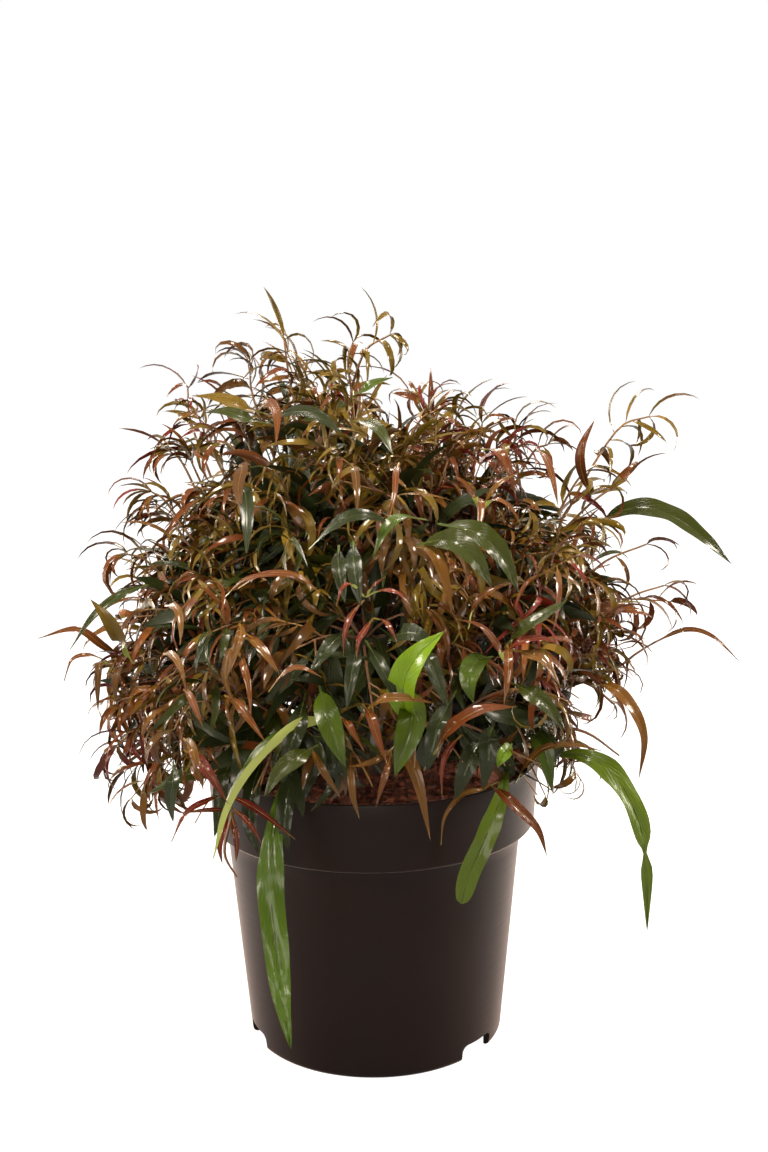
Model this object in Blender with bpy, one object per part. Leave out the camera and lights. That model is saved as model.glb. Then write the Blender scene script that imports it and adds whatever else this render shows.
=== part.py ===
"""Potted Leucothoe keiskei: a low evergreen shrub whose thin arching shoots make a dome over a nursery pot.

Metres, +Z up. The origin is the centre of the pot's underside, and the front of the plant faces -Y.
"""

import math
import random

import bmesh
import bpy
from mathutils import Matrix, Vector
from mathutils.bvhtree import BVHTree

SEED = 11
GAP = 0.0003

# Pot
POT_HEIGHT = 0.165
RIM_RADIUS = 0.095
COLLAR_FOOT_RADIUS = 0.0923
COLLAR_FOOT_HEIGHT = 0.1264
COLLAR_ROUND = 0.002
NECK_RADIUS = 0.0847
BASE_RADIUS = 0.0733
BASE_ROUND = 0.003
WALL = 0.0018
FLOOR = 0.003
CENTRE_DISC_RADIUS = 0.050
CHANNEL_SLOPE = 0.003
CHANNEL_HEIGHT = 0.010
POT_SEGMENTS = 36
NOTCH_COUNT = 3
NOTCH_TURN = -39
NOTCH_WIDTH = 0.026
NOTCH_DEPTH = 0.005
NOTCH_HEIGHT = 0.0095

# Soil
SOIL_HEIGHT = 0.1565
SOIL_EDGE_DROP = 0.002
SOIL_FLAT_RADIUS = 0.024

# Short stool that every stem rises from
STOOL_SIDES = 14
STOOL_FLARE_RADIUS = 0.0175
STOOL_WAIST_RADIUS = 0.0120
STOOL_TOP_RADIUS = 0.0050
STOOL_FLARE_HEIGHT = 0.0045
STOOL_SHOULDER_HEIGHT = 0.0095
STOOL_HEIGHT = 0.0165

# Stems and boughs
SETTING_OUT = 0.002
STEM_SIDES = 6
STEM_STEPS = 5
STEM_FOOT_RADIUS = 0.0026
STEM_TIP_RADIUS = 0.0018
LEADER_FOOT_RADIUS = 0.0036
LEADER_TIP_RADIUS = 0.0021
LEADER_TIP = Vector((-0.006, 0.002, 0.270))
LEADER_BOW = Vector((0.004, 0.0, 0.0))
OUTER_STEMS = 7
OUTER_STEM_REACH = 0.063
OUTER_STEM_HEIGHT = 0.228
BOUGH_SIDES = 6
BOUGH_STEPS = 3
BOUGH_FOOT_RADIUS = 0.0017
BOUGH_TIP_RADIUS = 0.0013
SIDE_BOUGH_FROM = 0.58
UPPER_BOUGH_FROM = 0.45
UPPER_BOUGH_TO = 0.88

# Dome of foliage: its heart, and how far its surface lies from there
HEART = Vector((0.0, 0.0, 0.215))
CROWN_SIDE = 0.164
CROWN_UP = 0.183
CROWN_DOWN = 0.125
SKIRT_HEIGHT = 0.136
FRONT_SKIRT_LIFT = 0.040

# Tiers of foliage masses: how many, the first one's azimuth, and where their middles and their mouths lie
TIERS = {
    "top": {"count": 1, "turn": 0, "radius": 0.000, "height": 0.372, "mouth": (0.000, 0.318)},
    "upper": {"count": 5, "turn": -54, "radius": 0.095, "height": 0.335, "mouth": (0.050, 0.292)},
    "middle": {"count": 7, "turn": -94.3, "radius": 0.138, "height": 0.268, "mouth": (0.078, 0.244)},
    "lower": {"count": 7, "turn": -120, "radius": 0.140, "height": 0.188, "mouth": (0.082, 0.200)},
}

# Twigs and leaves
SPACE_MARGIN = 0.0002
LIMB_MARGIN = 0.0006
CARRIER_SIDES = 4
CARRIER_REACH = 0.65
CARRIER_STEPS = 2
CARRIER_LEAVES = 2
CARRIER_FOOT_RADIUS = 0.0013
CARRIER_TIP_RADIUS = 0.0010
TWIG_SIDES = 3
TWIG_STEPS = 2
TWIG_FOOT_RADIUS = 0.0011
TWIG_TIP_RADIUS = 0.0008
TWIG_LIFT = 0.16
TWIG_SETTING_OUT = 0.004
REACHING_LEAF_STEPS = 4
TWIG_REACH = 0.80
SHOOTS = 123
TOWARDS_TOP = 1.25
TWIG_LEAVES = 3
TIP_LEAVES = 3
LEAF_LENGTH = (0.046, 0.062)
LEAF_WIDTH = 0.0160
LEAF_THICKNESS = 0.0013
LEAF_WIDEST = 0.45
LEAF_ROOT = 0.0022
LEAF_ROOT_SHARE = 0.4
LEAF_ROLL = 1.2
LEAF_TRIES = 10
GOLDEN_TURN = math.radians(137.5)

# Leaves that reach out of the dome: foot, bend, tip and width
REACHING_LEAVES = {
    "long_hanging_left": ((-0.052, -0.089, 0.155), (-0.056, -0.094, 0.098), (-0.046, -0.090, 0.032), 0.0200),
    "long_arching_left": ((-0.032, -0.078, 0.203), (-0.062, -0.098, 0.187), (-0.083, -0.108, 0.132), 0.0130),
    "long_over_right_rim": ((0.069, -0.081, 0.168), (0.058, -0.093, 0.142), (0.048, -0.094, 0.108), 0.0140),
    "long_hanging_right": ((0.108, -0.040, 0.176), (0.142, -0.048, 0.145), (0.152, -0.050, 0.076), 0.0130),
    "bronze_over_front_rim": ((0.016, -0.097, 0.190), (0.022, -0.104, 0.172), (0.029, -0.105, 0.152), 0.0100),
    "green_lower_left": ((-0.090, -0.060, 0.182), (-0.112, -0.060, 0.176), (-0.131, -0.060, 0.163), 0.0120),
    "copper_far_left": ((-0.140, -0.020, 0.234), (-0.164, -0.021, 0.246), (-0.187, -0.021, 0.238), 0.0070),
    "copper_far_right": ((0.124, 0.004, 0.216), (0.172, 0.004, 0.226), (0.208, 0.004, 0.218), 0.0070),
    "green_upper_right": ((0.136, -0.020, 0.300), (0.170, -0.022, 0.299), (0.203, -0.024, 0.276), 0.0120),
    "lime_front": ((0.008, -0.112, 0.240), (0.014, -0.128, 0.248), (0.026, -0.139, 0.267), 0.0180),
    "right_spray_high": ((0.118, 0.010, 0.326), (0.136, 0.014, 0.347), (0.172, 0.018, 0.344), 0.0070),
    "right_spray_tip": ((0.118, 0.010, 0.326), (0.140, 0.020, 0.350), (0.148, 0.030, 0.368), 0.0070),
    "left_high_upright": ((-0.094, 0.004, 0.358), (-0.099, 0.004, 0.374), (-0.100, 0.003, 0.391), 0.0060),
    "top_tuft_right": ((-0.008, 0.000, 0.398), (0.008, -0.004, 0.414), (0.026, -0.006, 0.422), 0.0060),
    "top_tuft_left": ((-0.008, 0.000, 0.398), (-0.028, 0.004, 0.405), (-0.046, 0.006, 0.391), 0.0070),
    "top_tuft_back": ((-0.008, 0.000, 0.398), (-0.004, 0.024, 0.408), (-0.002, 0.044, 0.392), 0.0070),
}

# Colours, roughness
PLASTIC = ("pot_plastic", (0.030, 0.021, 0.019), 0.38)
EARTH = ("potting_soil", (0.080, 0.028, 0.014), 0.95)
BARK = ("bark", (0.090, 0.040, 0.022), 0.80)
FOLIAGE = {
    "top": ("young_copper_leaf", (0.240, 0.085, 0.030), 0.42),
    "upper": ("young_bronze_leaf", (0.200, 0.095, 0.028), 0.42),
    "middle": ("copper_green_leaf", (0.120, 0.080, 0.026), 0.42),
    "lower": ("old_green_leaf", (0.060, 0.070, 0.024), 0.40),
}


def clear_scene():
    for obj in list(bpy.data.objects):
        bpy.data.objects.remove(obj, do_unlink=True)


def finish(name, colour, roughness):
    """A plain Principled material, made once and then shared."""
    found = bpy.data.materials.get(name)
    if found:
        return found
    material = bpy.data.materials.new(name)
    material.use_nodes = True
    shader = material.node_tree.nodes["Principled BSDF"]
    shader.inputs["Base Color"].default_value = (*colour, 1.0)
    shader.inputs["Roughness"].default_value = roughness
    shader.inputs["Metallic"].default_value = 0.0
    return material


def add_object(name, corners, faces, look, smooth_below=None):
    """An object from corners and faces, with flat faces unless an angle is given for smooth shading."""
    mesh = bpy.data.meshes.new(name)
    mesh.from_pydata([tuple(corner) for corner in corners], [], faces)
    mesh.validate()
    mesh.materials.append(finish(*look))
    if smooth_below is not None:
        mesh.shade_smooth()
        mesh.set_sharp_from_angle(angle=math.radians(smooth_below))
    obj = bpy.data.objects.new(name, mesh)
    bpy.context.scene.collection.objects.link(obj)
    return obj


def polar(azimuth, radius, height):
    angle = math.radians(azimuth)
    return Vector((radius * math.cos(angle), radius * math.sin(angle), height))


def loft(rings):
    """(corners, faces) of a closed skin over rings of corners. A ring of one corner is a point. Other ends get flat caps."""
    corners = []
    faces = []
    starts = []
    for ring in rings:
        starts.append(len(corners))
        corners.extend(ring)
    for start, low, next_start, high in zip(starts, rings, starts[1:], rings[1:]):
        sides = max(len(low), len(high))
        for k in range(sides):
            after = (k + 1) % sides
            if len(low) == 1:
                faces.append((start, next_start + after, next_start + k))
            elif len(high) == 1:
                faces.append((start + k, start + after, next_start))
            else:
                faces.append((start + k, start + after, next_start + after, next_start + k))
    if len(rings[0]) > 1:
        faces.append(tuple(reversed(range(len(rings[0])))))
    if len(rings[-1]) > 1:
        faces.append(tuple(range(starts[-1], starts[-1] + len(rings[-1]))))
    return corners, faces


def turned(profile, segments):
    """(corners, faces) of a profile of (radius, height) turned round the Z axis, from its foot on the axis to its top."""
    rings = []
    for radius, height in profile:
        if radius == 0:
            rings.append([Vector((0, 0, height))])
            continue
        rings.append([polar(360 * (k + 0.5) / segments, radius, height) for k in range(segments)])
    return loft(rings)


def frames_along(path):
    """Each point of a path with the way it runs there and a side that doesn't twist."""
    side = None
    found = []
    for k, point in enumerate(path):
        way = (path[min(k + 1, len(path) - 1)] - path[max(k - 1, 0)]).normalized()
        if side is None:
            side = way.orthogonal()
        side = (side - way * side.dot(way)).normalized()
        found.append((point, way, side))
    return found


class Limb:
    """A tapering limb along a path."""

    def __init__(self, path, foot_radius, tip_radius, sides):
        self.path = path
        self.foot_radius = foot_radius
        self.tip_radius = tip_radius
        self.sides = sides

    def radius(self, share):
        return self.foot_radius + (self.tip_radius - self.foot_radius) * share

    def place(self, share):
        """The point and the way at a share of the path's steps."""
        steps = share * (len(self.path) - 1)
        k = min(int(steps), len(self.path) - 2)
        start, end = self.path[k], self.path[k + 1]
        return start.lerp(end, steps - k), (end - start).normalized()

    def beyond_tip(self):
        """A point off the tip by the gap, and the way the limb ends."""
        tip, way = self.place(1)
        return tip + way * GAP, way

    def shape(self, grown=0.0):
        """(corners, faces) with flat ends, thicker by grown all round."""
        rings = []
        for k, (point, way, side) in enumerate(frames_along(self.path)):
            radius = self.radius(k / (len(self.path) - 1)) + grown
            across = way.cross(side)
            ring = []
            for j in range(self.sides):
                angle = 2 * math.pi * j / self.sides
                ring.append(point + (side * math.cos(angle) + across * math.sin(angle)) * radius)
            rings.append(ring)
        return loft(rings)


def bow(start, bend, end, steps):
    """Points from start to end on the curve that leaves towards bend."""
    points = []
    for k in range(steps + 1):
        t = k / steps
        points.append(start * (1 - t) ** 2 + bend * 2 * t * (1 - t) + end * t**2)
    return points


def route(foot, way, tip, steps):
    """Points from foot to tip on a curve that sets out along way, with a first short step straight along it."""
    start = foot + way * SETTING_OUT
    return [foot, *bow(start, start + way * (tip - start).length * 0.4, tip, steps)]


def leaf(rib, width, side):
    """(corners, faces) of a leaf on a rib: a point at each end, and a flat four-cornered ring between."""
    rings = [[rib[0]]]
    for k in range(1, len(rib) - 1):
        way = (rib[k + 1] - rib[k - 1]).normalized()
        across = (side - way * side.dot(way)).normalized()
        face = across.cross(way)
        share = math.sin(math.pi * k / (len(rib) - 1))
        half = width / 2 * (0.45 + 0.55 * share)
        thick = LEAF_THICKNESS / 2
        rings.append([rib[k] + across * half, rib[k] - face * thick, rib[k] - across * half, rib[k] + face * thick])
    rings.append([rib[-1]])
    return loft(rings)


def pot_outside(grown=0.0):
    """Profile of the pot's outside from its foot up to the rim, moved out by grown."""
    return [
        (BASE_RADIUS - BASE_ROUND / 2, -grown),
        (BASE_RADIUS + grown, BASE_ROUND),
        (NECK_RADIUS + grown, COLLAR_FOOT_HEIGHT - grown),
        (COLLAR_FOOT_RADIUS - COLLAR_ROUND / 2 + grown, COLLAR_FOOT_HEIGHT - grown),
        (COLLAR_FOOT_RADIUS + grown, COLLAR_FOOT_HEIGHT + COLLAR_ROUND),
        (RIM_RADIUS + grown, POT_HEIGHT - WALL / 2),
        (RIM_RADIUS - WALL / 4 + grown, POT_HEIGHT + grown),
    ]


def pot_inside(gap=0.0):
    """Profile of the pot's inner wall and floor from the rim to the axis, with this much gap to them."""
    step = COLLAR_FOOT_HEIGHT + WALL
    raised = CHANNEL_HEIGHT + FLOOR
    return [
        (RIM_RADIUS - WALL - gap, POT_HEIGHT),
        (COLLAR_FOOT_RADIUS - WALL - gap, step + COLLAR_ROUND + gap),
        (COLLAR_FOOT_RADIUS - WALL - COLLAR_ROUND - gap, step + gap),
        (NECK_RADIUS - WALL - gap, step + gap),
        (BASE_RADIUS - WALL - gap, raised + gap),
        (CENTRE_DISC_RADIUS + CHANNEL_SLOPE, raised + gap),
        (CENTRE_DISC_RADIUS, FLOOR + gap),
        (0.0, FLOOR + gap),
    ]


def pot_underside():
    """Profile of the underside from the axis out: a disc that stands flat, and a channel inside the skirt."""
    return [
        (0.0, 0.0),
        (CENTRE_DISC_RADIUS, 0.0),
        (CENTRE_DISC_RADIUS + CHANNEL_SLOPE, CHANNEL_HEIGHT),
        (BASE_RADIUS - 2 * WALL, CHANNEL_HEIGHT),
        (BASE_RADIUS - 2 * WALL, 0.0),
    ]


def build_pot():
    profile = [*pot_underside(), *pot_outside(), *pot_inside()]
    pot = add_object("pot", *turned(profile, POT_SEGMENTS), PLASTIC, smooth_below=35)
    cutter_mesh = bmesh.new()
    for k in range(NOTCH_COUNT):
        turn = Matrix.Rotation(math.radians(NOTCH_TURN + 360 * k / NOTCH_COUNT), 4, "Z")
        place = Matrix.Translation((BASE_RADIUS - WALL, 0, 0))
        size = Matrix.Diagonal((2 * NOTCH_DEPTH, NOTCH_WIDTH, 2 * NOTCH_HEIGHT, 1))
        bmesh.ops.create_cube(cutter_mesh, size=1, matrix=turn @ place @ size)
    mesh = bpy.data.meshes.new("notch_cutter")
    cutter_mesh.to_mesh(mesh)
    cutter_mesh.free()
    cutter = bpy.data.objects.new("notch_cutter", mesh)
    bpy.context.scene.collection.objects.link(cutter)
    cutter.hide_render = True
    cutter.display_type = "WIRE"
    notches = pot.modifiers.new("foot_notches", "BOOLEAN")
    notches.operation = "DIFFERENCE"
    notches.object = cutter


def build_soil():
    (rim_radius, rim_height), *wall = pot_inside(GAP)
    low_radius, low_height = wall[0]
    edge_height = SOIL_HEIGHT - SOIL_EDGE_DROP
    edge_share = (edge_height - low_height) / (rim_height - low_height)
    edge = (low_radius + (rim_radius - low_radius) * edge_share, edge_height)
    profile = [*reversed(wall), edge, (SOIL_FLAT_RADIUS, SOIL_HEIGHT), (0.0, SOIL_HEIGHT)]
    add_object("soil", *turned(profile, POT_SEGMENTS), EARTH, smooth_below=35)


def build_stool():
    """The short woody base, cut flat where it stands on the soil."""
    ground = SOIL_HEIGHT + GAP
    profile = [
        (0.0, ground),
        (STOOL_FLARE_RADIUS, ground),
        (STOOL_WAIST_RADIUS, ground + STOOL_FLARE_HEIGHT),
        (STOOL_WAIST_RADIUS, ground + STOOL_SHOULDER_HEIGHT),
        (STOOL_TOP_RADIUS, ground + STOOL_HEIGHT),
        (0.0, ground + STOOL_HEIGHT),
    ]
    add_object("stem_base", *turned(profile, STOOL_SIDES), BARK, smooth_below=50)


def stool_shoulder(azimuth):
    """A point just off the stool's sloping shoulder, and the way that slope faces."""
    run = STOOL_WAIST_RADIUS - STOOL_TOP_RADIUS
    rise = STOOL_HEIGHT - STOOL_SHOULDER_HEIGHT
    flat = math.cos(math.pi / STOOL_SIDES)
    middle = (STOOL_WAIST_RADIUS + STOOL_TOP_RADIUS) / 2 * flat
    height = SOIL_HEIGHT + GAP + (STOOL_SHOULDER_HEIGHT + STOOL_HEIGHT) / 2
    way = polar(azimuth, rise, run * flat).normalized()
    return polar(azimuth, middle, height) + way * GAP, way


def side_foot(stem, share, radius, end):
    """Where a bough of this radius leaves the side of a stem for end, clear of the stem by the gap."""
    point, along = stem.place(share)
    way = (end - point).normalized()
    lean = way.angle(along)
    off = (stem.radius(share) + GAP + radius * abs(math.cos(lean))) / math.sin(lean)
    return point + way * off, way


class Room:
    """What twigs and leaves keep clear of: the limbs, grown by a margin, and the pot with all it holds."""

    def __init__(self):
        self.corners = []
        self.faces = []

    def fill(self, shape):
        start = len(self.corners)
        corners, faces = shape
        self.corners.extend(corners)
        self.faces.extend(tuple(start + k for k in face) for face in faces)

    def tree(self):
        return BVHTree.FromPolygons(self.corners, self.faces)


def mass_places():
    """Each foliage mass's name, tier, middle and mouth."""
    places = []
    for tier, sizes in TIERS.items():
        for k in range(sizes["count"]):
            azimuth = sizes["turn"] + 360 * k / sizes["count"]
            middle = polar(azimuth, sizes["radius"], sizes["height"])
            mouth = polar(azimuth, *sizes["mouth"])
            name = f"foliage_{tier}" if sizes["count"] == 1 else f"foliage_{tier}_{k + 1}"
            places.append({"name": name, "tier": tier, "number": k + 1, "middle": middle, "mouth": mouth})
    return places


def build_limbs(taken, places):
    """A leader and seven outer stems, and one bough to the mouth of each mass. Each place gets its bough."""

    def add_limb(name, limb):
        add_object(name, *limb.shape(), BARK, smooth_below=60)
        taken.fill(limb.shape(LIMB_MARGIN))

    def add_bough(place, name, foot, way):
        path = route(foot, way, place["mouth"], BOUGH_STEPS)
        place["bough"] = Limb(path, BOUGH_FOOT_RADIUS, BOUGH_TIP_RADIUS, BOUGH_SIDES)
        add_limb(name, place["bough"])

    def tier(name):
        return [place for place in places if place["tier"] == name]

    foot = Vector((0, 0, SOIL_HEIGHT + STOOL_HEIGHT + 2 * GAP))
    path = bow(foot, foot.lerp(LEADER_TIP, 0.5) + LEADER_BOW, LEADER_TIP, STEM_STEPS)
    leader = Limb(path, LEADER_FOOT_RADIUS, LEADER_TIP_RADIUS, STEM_SIDES)
    add_limb("stem_leader", leader)
    add_bough(tier("top")[0], "bough_top", *leader.beyond_tip())
    upper = tier("upper")
    for k, place in enumerate(upper):
        order = k * 2 % len(upper)
        share = UPPER_BOUGH_FROM + (UPPER_BOUGH_TO - UPPER_BOUGH_FROM) * order / (len(upper) - 1)
        add_bough(place, f"bough_upper_{k + 1}", *side_foot(leader, share, BOUGH_FOOT_RADIUS, place["mouth"]))

    first_turn = (TIERS["middle"]["turn"] + TIERS["lower"]["turn"]) / 2
    for k, (middle, lower) in enumerate(zip(tier("middle"), tier("lower"))):
        azimuth = first_turn + 360 * k / OUTER_STEMS
        foot, way = stool_shoulder(azimuth)
        tip = polar(azimuth, OUTER_STEM_REACH, OUTER_STEM_HEIGHT)
        path = route(foot, way, tip, STEM_STEPS)
        stem = Limb(path, STEM_FOOT_RADIUS, STEM_TIP_RADIUS, STEM_SIDES)
        add_limb(f"stem_{k + 1}", stem)
        add_bough(middle, f"bough_middle_{k + 1}", *stem.beyond_tip())
        foot_and_way = side_foot(stem, SIDE_BOUGH_FROM, BOUGH_FOOT_RADIUS, lower["mouth"])
        add_bough(lower, f"bough_lower_{k + 1}", *foot_and_way)


def skirt_height(point):
    """How low the foliage hangs here: it stops higher at the front, where the soil shows."""
    front = max(0.0, -point.y) / max(point.xy.length, GAP)
    return SKIRT_HEIGHT + FRONT_SKIRT_LIFT * front**3


def crown_surface(way):
    """The dome's surface in this direction from its heart."""
    tall = CROWN_UP if way.z > 0 else CROWN_DOWN
    flat = way.xy.length / CROWN_SIDE
    return HEART + way / math.hypot(flat, way.z / tall)


def shoot_ends(rng, places):
    """Evenly spread ends for the shoots just inside the dome's surface, each dealt to the nearest mass."""
    ends = {place["name"]: [] for place in places}
    for k in range(SHOOTS):
        height = 1 - 2 * ((k + 0.5) / SHOOTS) ** TOWARDS_TOP
        turn = k * GOLDEN_TURN
        flat = math.sqrt(1 - height**2)
        way = Vector((flat * math.cos(turn), flat * math.sin(turn), height))
        surface = crown_surface(way)
        end = HEART + (surface - HEART) * TWIG_REACH * rng.uniform(0.93, 1.06)
        if surface.z < skirt_height(surface):
            continue
        nearest = min(places, key=lambda place: (place["middle"] - end).length)
        ends[nearest["name"]].append(end)
    return ends


class Space:
    """The room of one mass: nearer to its middle than to any other's, and clear of limbs, soil and pot."""

    def __init__(self, place, places, taken):
        self.taken = taken
        self.grown = []
        self.walls = []
        for other in places:
            if other is not place:
                way = (other["middle"] - place["middle"]).normalized()
                self.walls.append((way, way.dot((other["middle"] + place["middle"]) / 2) - SPACE_MARGIN))

    def owns(self, points):
        return all(way.dot(point) <= limit for way, limit in self.walls for point in points)

    def holds(self, shape):
        corners, faces = shape
        return self.owns(corners) and not BVHTree.FromPolygons(corners, faces).overlap(self.taken)

    def crosses(self, shape):
        """Whether a shape meets a twig or leaf that has grown here before."""
        tree = BVHTree.FromPolygons(*shape)
        return any(tree.overlap(other) for other in self.grown)

    def take(self, shape):
        self.grown.append(BVHTree.FromPolygons(*shape))
        return shape


def leaf_rib(point, along, way, length, sag):
    """Root sunk in the twig, bend at the leaf's widest, and a tip that hangs by sag of the length."""
    root = point - along * LEAF_ROOT
    bend = point + way * length * LEAF_WIDEST
    fall = (way - Vector((0, 0, sag))).normalized()
    return [root, bend, bend + fall * length * (1 - LEAF_WIDEST)]


def level_side(way, roll):
    """A leaf's side, level for a flat leaf, and rolled round the way it points."""
    level = way.cross(Vector((0, 0, 1)))
    if level.length < 0.05:
        level = way.orthogonal()
    return Matrix.Rotation(roll, 3, way) @ level.normalized()


def try_leaf(rng, space, point, along, turn, spread):
    """A leaf that leaves the twig at an angle, stays in its space and crosses nothing past its root, or none."""
    length = rng.uniform(*LEAF_LENGTH)
    roll = rng.uniform(-LEAF_ROLL, LEAF_ROLL)
    sag = rng.uniform(0.25, 0.95)
    for k in range(LEAF_TRIES):
        out = Matrix.Rotation(turn + k * GOLDEN_TURN, 3, along) @ along.orthogonal().normalized()
        way = (along * math.cos(spread) + out * math.sin(spread)).normalized()
        rib = leaf_rib(point, along, way, length, sag)
        side = level_side(way, roll)
        shape = leaf(rib, LEAF_WIDTH, side)
        rib[0] = rib[0].lerp(rib[1], LEAF_ROOT_SHARE)
        if space.holds(shape) and not space.crosses(leaf(rib, LEAF_WIDTH, side)):
            return [space.take(shape)]
    return []


def grow_twig(carrier, share, end):
    """A three-sided twig from the carrier's middle line to end, which arches up on its way."""
    foot, along = carrier.place(share)
    bend = foot.lerp(end, 0.4) + Vector((0, 0, TWIG_LIFT)) * (end - foot).length + along * TWIG_SETTING_OUT
    return Limb(bow(foot, bend, end, TWIG_STEPS), TWIG_FOOT_RADIUS, TWIG_TIP_RADIUS, TWIG_SIDES)


def nearest_share(carrier, point):
    """The share of the carrier, clear of its foot and its tip, that lies nearest to a point."""
    shares = [0.25 + 0.70 * k / 12 for k in range(13)]
    return min(shares, key=lambda share: (carrier.place(share)[0] - point).length)


def reaching_leaf(space, carrier, foot, bend, tip, width):
    """A twig and the leaf at its end that reaches out of the dome, or nothing where they would leave the space."""
    rib = bow(foot, bend * 2 - (foot + tip) / 2, tip, REACHING_LEAF_STEPS)
    if not space.owns(rib):
        return []
    twig = grow_twig(carrier, nearest_share(carrier, foot), foot)
    rib[0] = foot - twig.place(1)[1] * LEAF_ROOT
    shapes = [twig.shape(), leaf(rib, width, level_side((tip - foot).normalized(), 0))]
    if not all(space.holds(shape) for shape in shapes):
        return []
    return [space.take(shape) for shape in shapes]


def leafy_twig(rng, space, twig):
    """A twig with leaves along it and a whorl at its tip, or nothing where the twig would leave the space."""
    if not space.holds(twig.shape()):
        return []
    shapes = [space.take(twig.shape())]
    turn = rng.uniform(0, math.tau)
    for k in range(TWIG_LEAVES):
        point, along = twig.place(0.3 + 0.55 * k / TWIG_LEAVES)
        shapes += try_leaf(rng, space, point, along, turn + k * GOLDEN_TURN, math.radians(58))
    point, along = twig.place(1)
    for k in range(TIP_LEAVES):
        shapes += try_leaf(rng, space, point, along, turn + math.tau * k / TIP_LEAVES, math.radians(38))
    return shapes


def grow_mass(rng, place, ends, space):
    """The solids of one mass: its carrier, its twigs and their leaves."""
    foot, way = place["bough"].beyond_tip()
    tip = foot.lerp(sum(ends, Vector()) / len(ends), CARRIER_REACH)
    path = route(foot, way, tip, CARRIER_STEPS)
    carrier = Limb(path, CARRIER_FOOT_RADIUS, CARRIER_TIP_RADIUS, CARRIER_SIDES)
    shapes = [carrier.shape()]
    for foot, bend, tip, width in REACHING_LEAVES.values():
        shapes += reaching_leaf(space, carrier, Vector(foot), Vector(bend), Vector(tip), width)
    for end in ends:
        shapes += leafy_twig(rng, space, grow_twig(carrier, nearest_share(carrier, end), end))
    for k in range(CARRIER_LEAVES):
        point, along = carrier.place(0.45 + 0.5 * k / CARRIER_LEAVES)
        shapes += try_leaf(rng, space, point, along, k * GOLDEN_TURN, math.radians(70))
    return shapes


def skins(mesh):
    """The faces of a bmesh in groups that plain edges join."""
    unseen = set(mesh.faces)
    groups = []
    while unseen:
        waiting = [unseen.pop()]
        group = list(waiting)
        while waiting:
            for edge in waiting.pop().edges:
                if len(edge.link_faces) != 2:
                    continue
                for face in edge.link_faces:
                    if face in unseen:
                        unseen.remove(face)
                        group.append(face)
                        waiting.append(face)
        groups.append(group)
    return groups


def keep_outer_skin(mesh):
    """Drops all but the widest skin: the loose scraps, and the walls of sealed hollows. Says whether it is closed."""
    skin = bmesh.new()
    skin.from_mesh(mesh)
    bmesh.ops.remove_doubles(skin, verts=skin.verts, dist=1e-6)
    bmesh.ops.dissolve_degenerate(skin, edges=skin.edges, dist=1e-6)
    bmesh.ops.triangulate(skin, faces=skin.faces)
    groups = skins(skin)
    widest = max(groups, key=len)
    loose = [face for group in groups if group is not widest for face in group]
    bmesh.ops.delete(skin, geom=loose, context="FACES")
    closed = all(len(edge.link_faces) == 2 for edge in skin.edges)
    skin.to_mesh(mesh)
    skin.free()
    return closed


def fuse(name, shapes, look):
    """One solid from many: a Boolean union on a collection, applied."""
    others = bpy.data.collections.new(f"{name}_pieces")
    for k, shape in enumerate(shapes[1:]):
        piece = add_object(f"{name}_piece_{k}", *shape, look)
        bpy.context.scene.collection.objects.unlink(piece)
        others.objects.link(piece)
    body = add_object(name, *shapes[0], look)
    single = body.data.copy()
    for solver in ("EXACT", "MANIFOLD"):
        body.data = single.copy()
        union = body.modifiers.new("union", "BOOLEAN")
        union.operation = "UNION"
        union.operand_type = "COLLECTION"
        union.collection = others
        union.solver = solver
        bpy.context.view_layer.objects.active = body
        bpy.ops.object.modifier_apply(modifier=union.name)
        if keep_outer_skin(body.data):
            break
    for piece in list(others.objects):
        bpy.data.objects.remove(piece, do_unlink=True)
    bpy.data.collections.remove(others)


def main():
    clear_scene()
    rng = random.Random(SEED)
    build_pot()
    build_soil()
    build_stool()
    places = mass_places()
    room = Room()
    build_limbs(room, places)
    filled_pot = [(0.0, -LIMB_MARGIN), *pot_outside(LIMB_MARGIN), (0.0, POT_HEIGHT + LIMB_MARGIN)]
    room.fill(turned(filled_pot, POT_SEGMENTS))
    taken = room.tree()
    ends = shoot_ends(rng, places)
    for place in places:
        space = Space(place, places, taken)
        shapes = grow_mass(rng, place, ends[place["name"]], space)
        fuse(place["name"], shapes, FOLIAGE[place["tier"]])


main()
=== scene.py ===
"""Looks of a potted Leucothoe keiskei: moulded pot, crumbly soil, barky stems, and a dome of arching young shoots.

Metres, +Z up, the pot's foot at z = 0 and the front of the plant towards -Y.
"""

import math
import random

import bmesh
import bpy
import numpy as np
from mathutils import Matrix, Vector, noise


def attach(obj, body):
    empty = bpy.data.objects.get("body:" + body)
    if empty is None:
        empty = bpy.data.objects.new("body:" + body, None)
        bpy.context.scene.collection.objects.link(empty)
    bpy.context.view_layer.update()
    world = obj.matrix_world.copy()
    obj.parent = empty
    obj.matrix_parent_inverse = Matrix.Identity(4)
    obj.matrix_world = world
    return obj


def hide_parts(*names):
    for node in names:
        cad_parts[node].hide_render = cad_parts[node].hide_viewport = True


SEED = 11
UP = Vector((0.0, 0.0, 1.0))
MM = 0.001
GOLDEN_TURN = math.radians(137.5)

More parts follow.
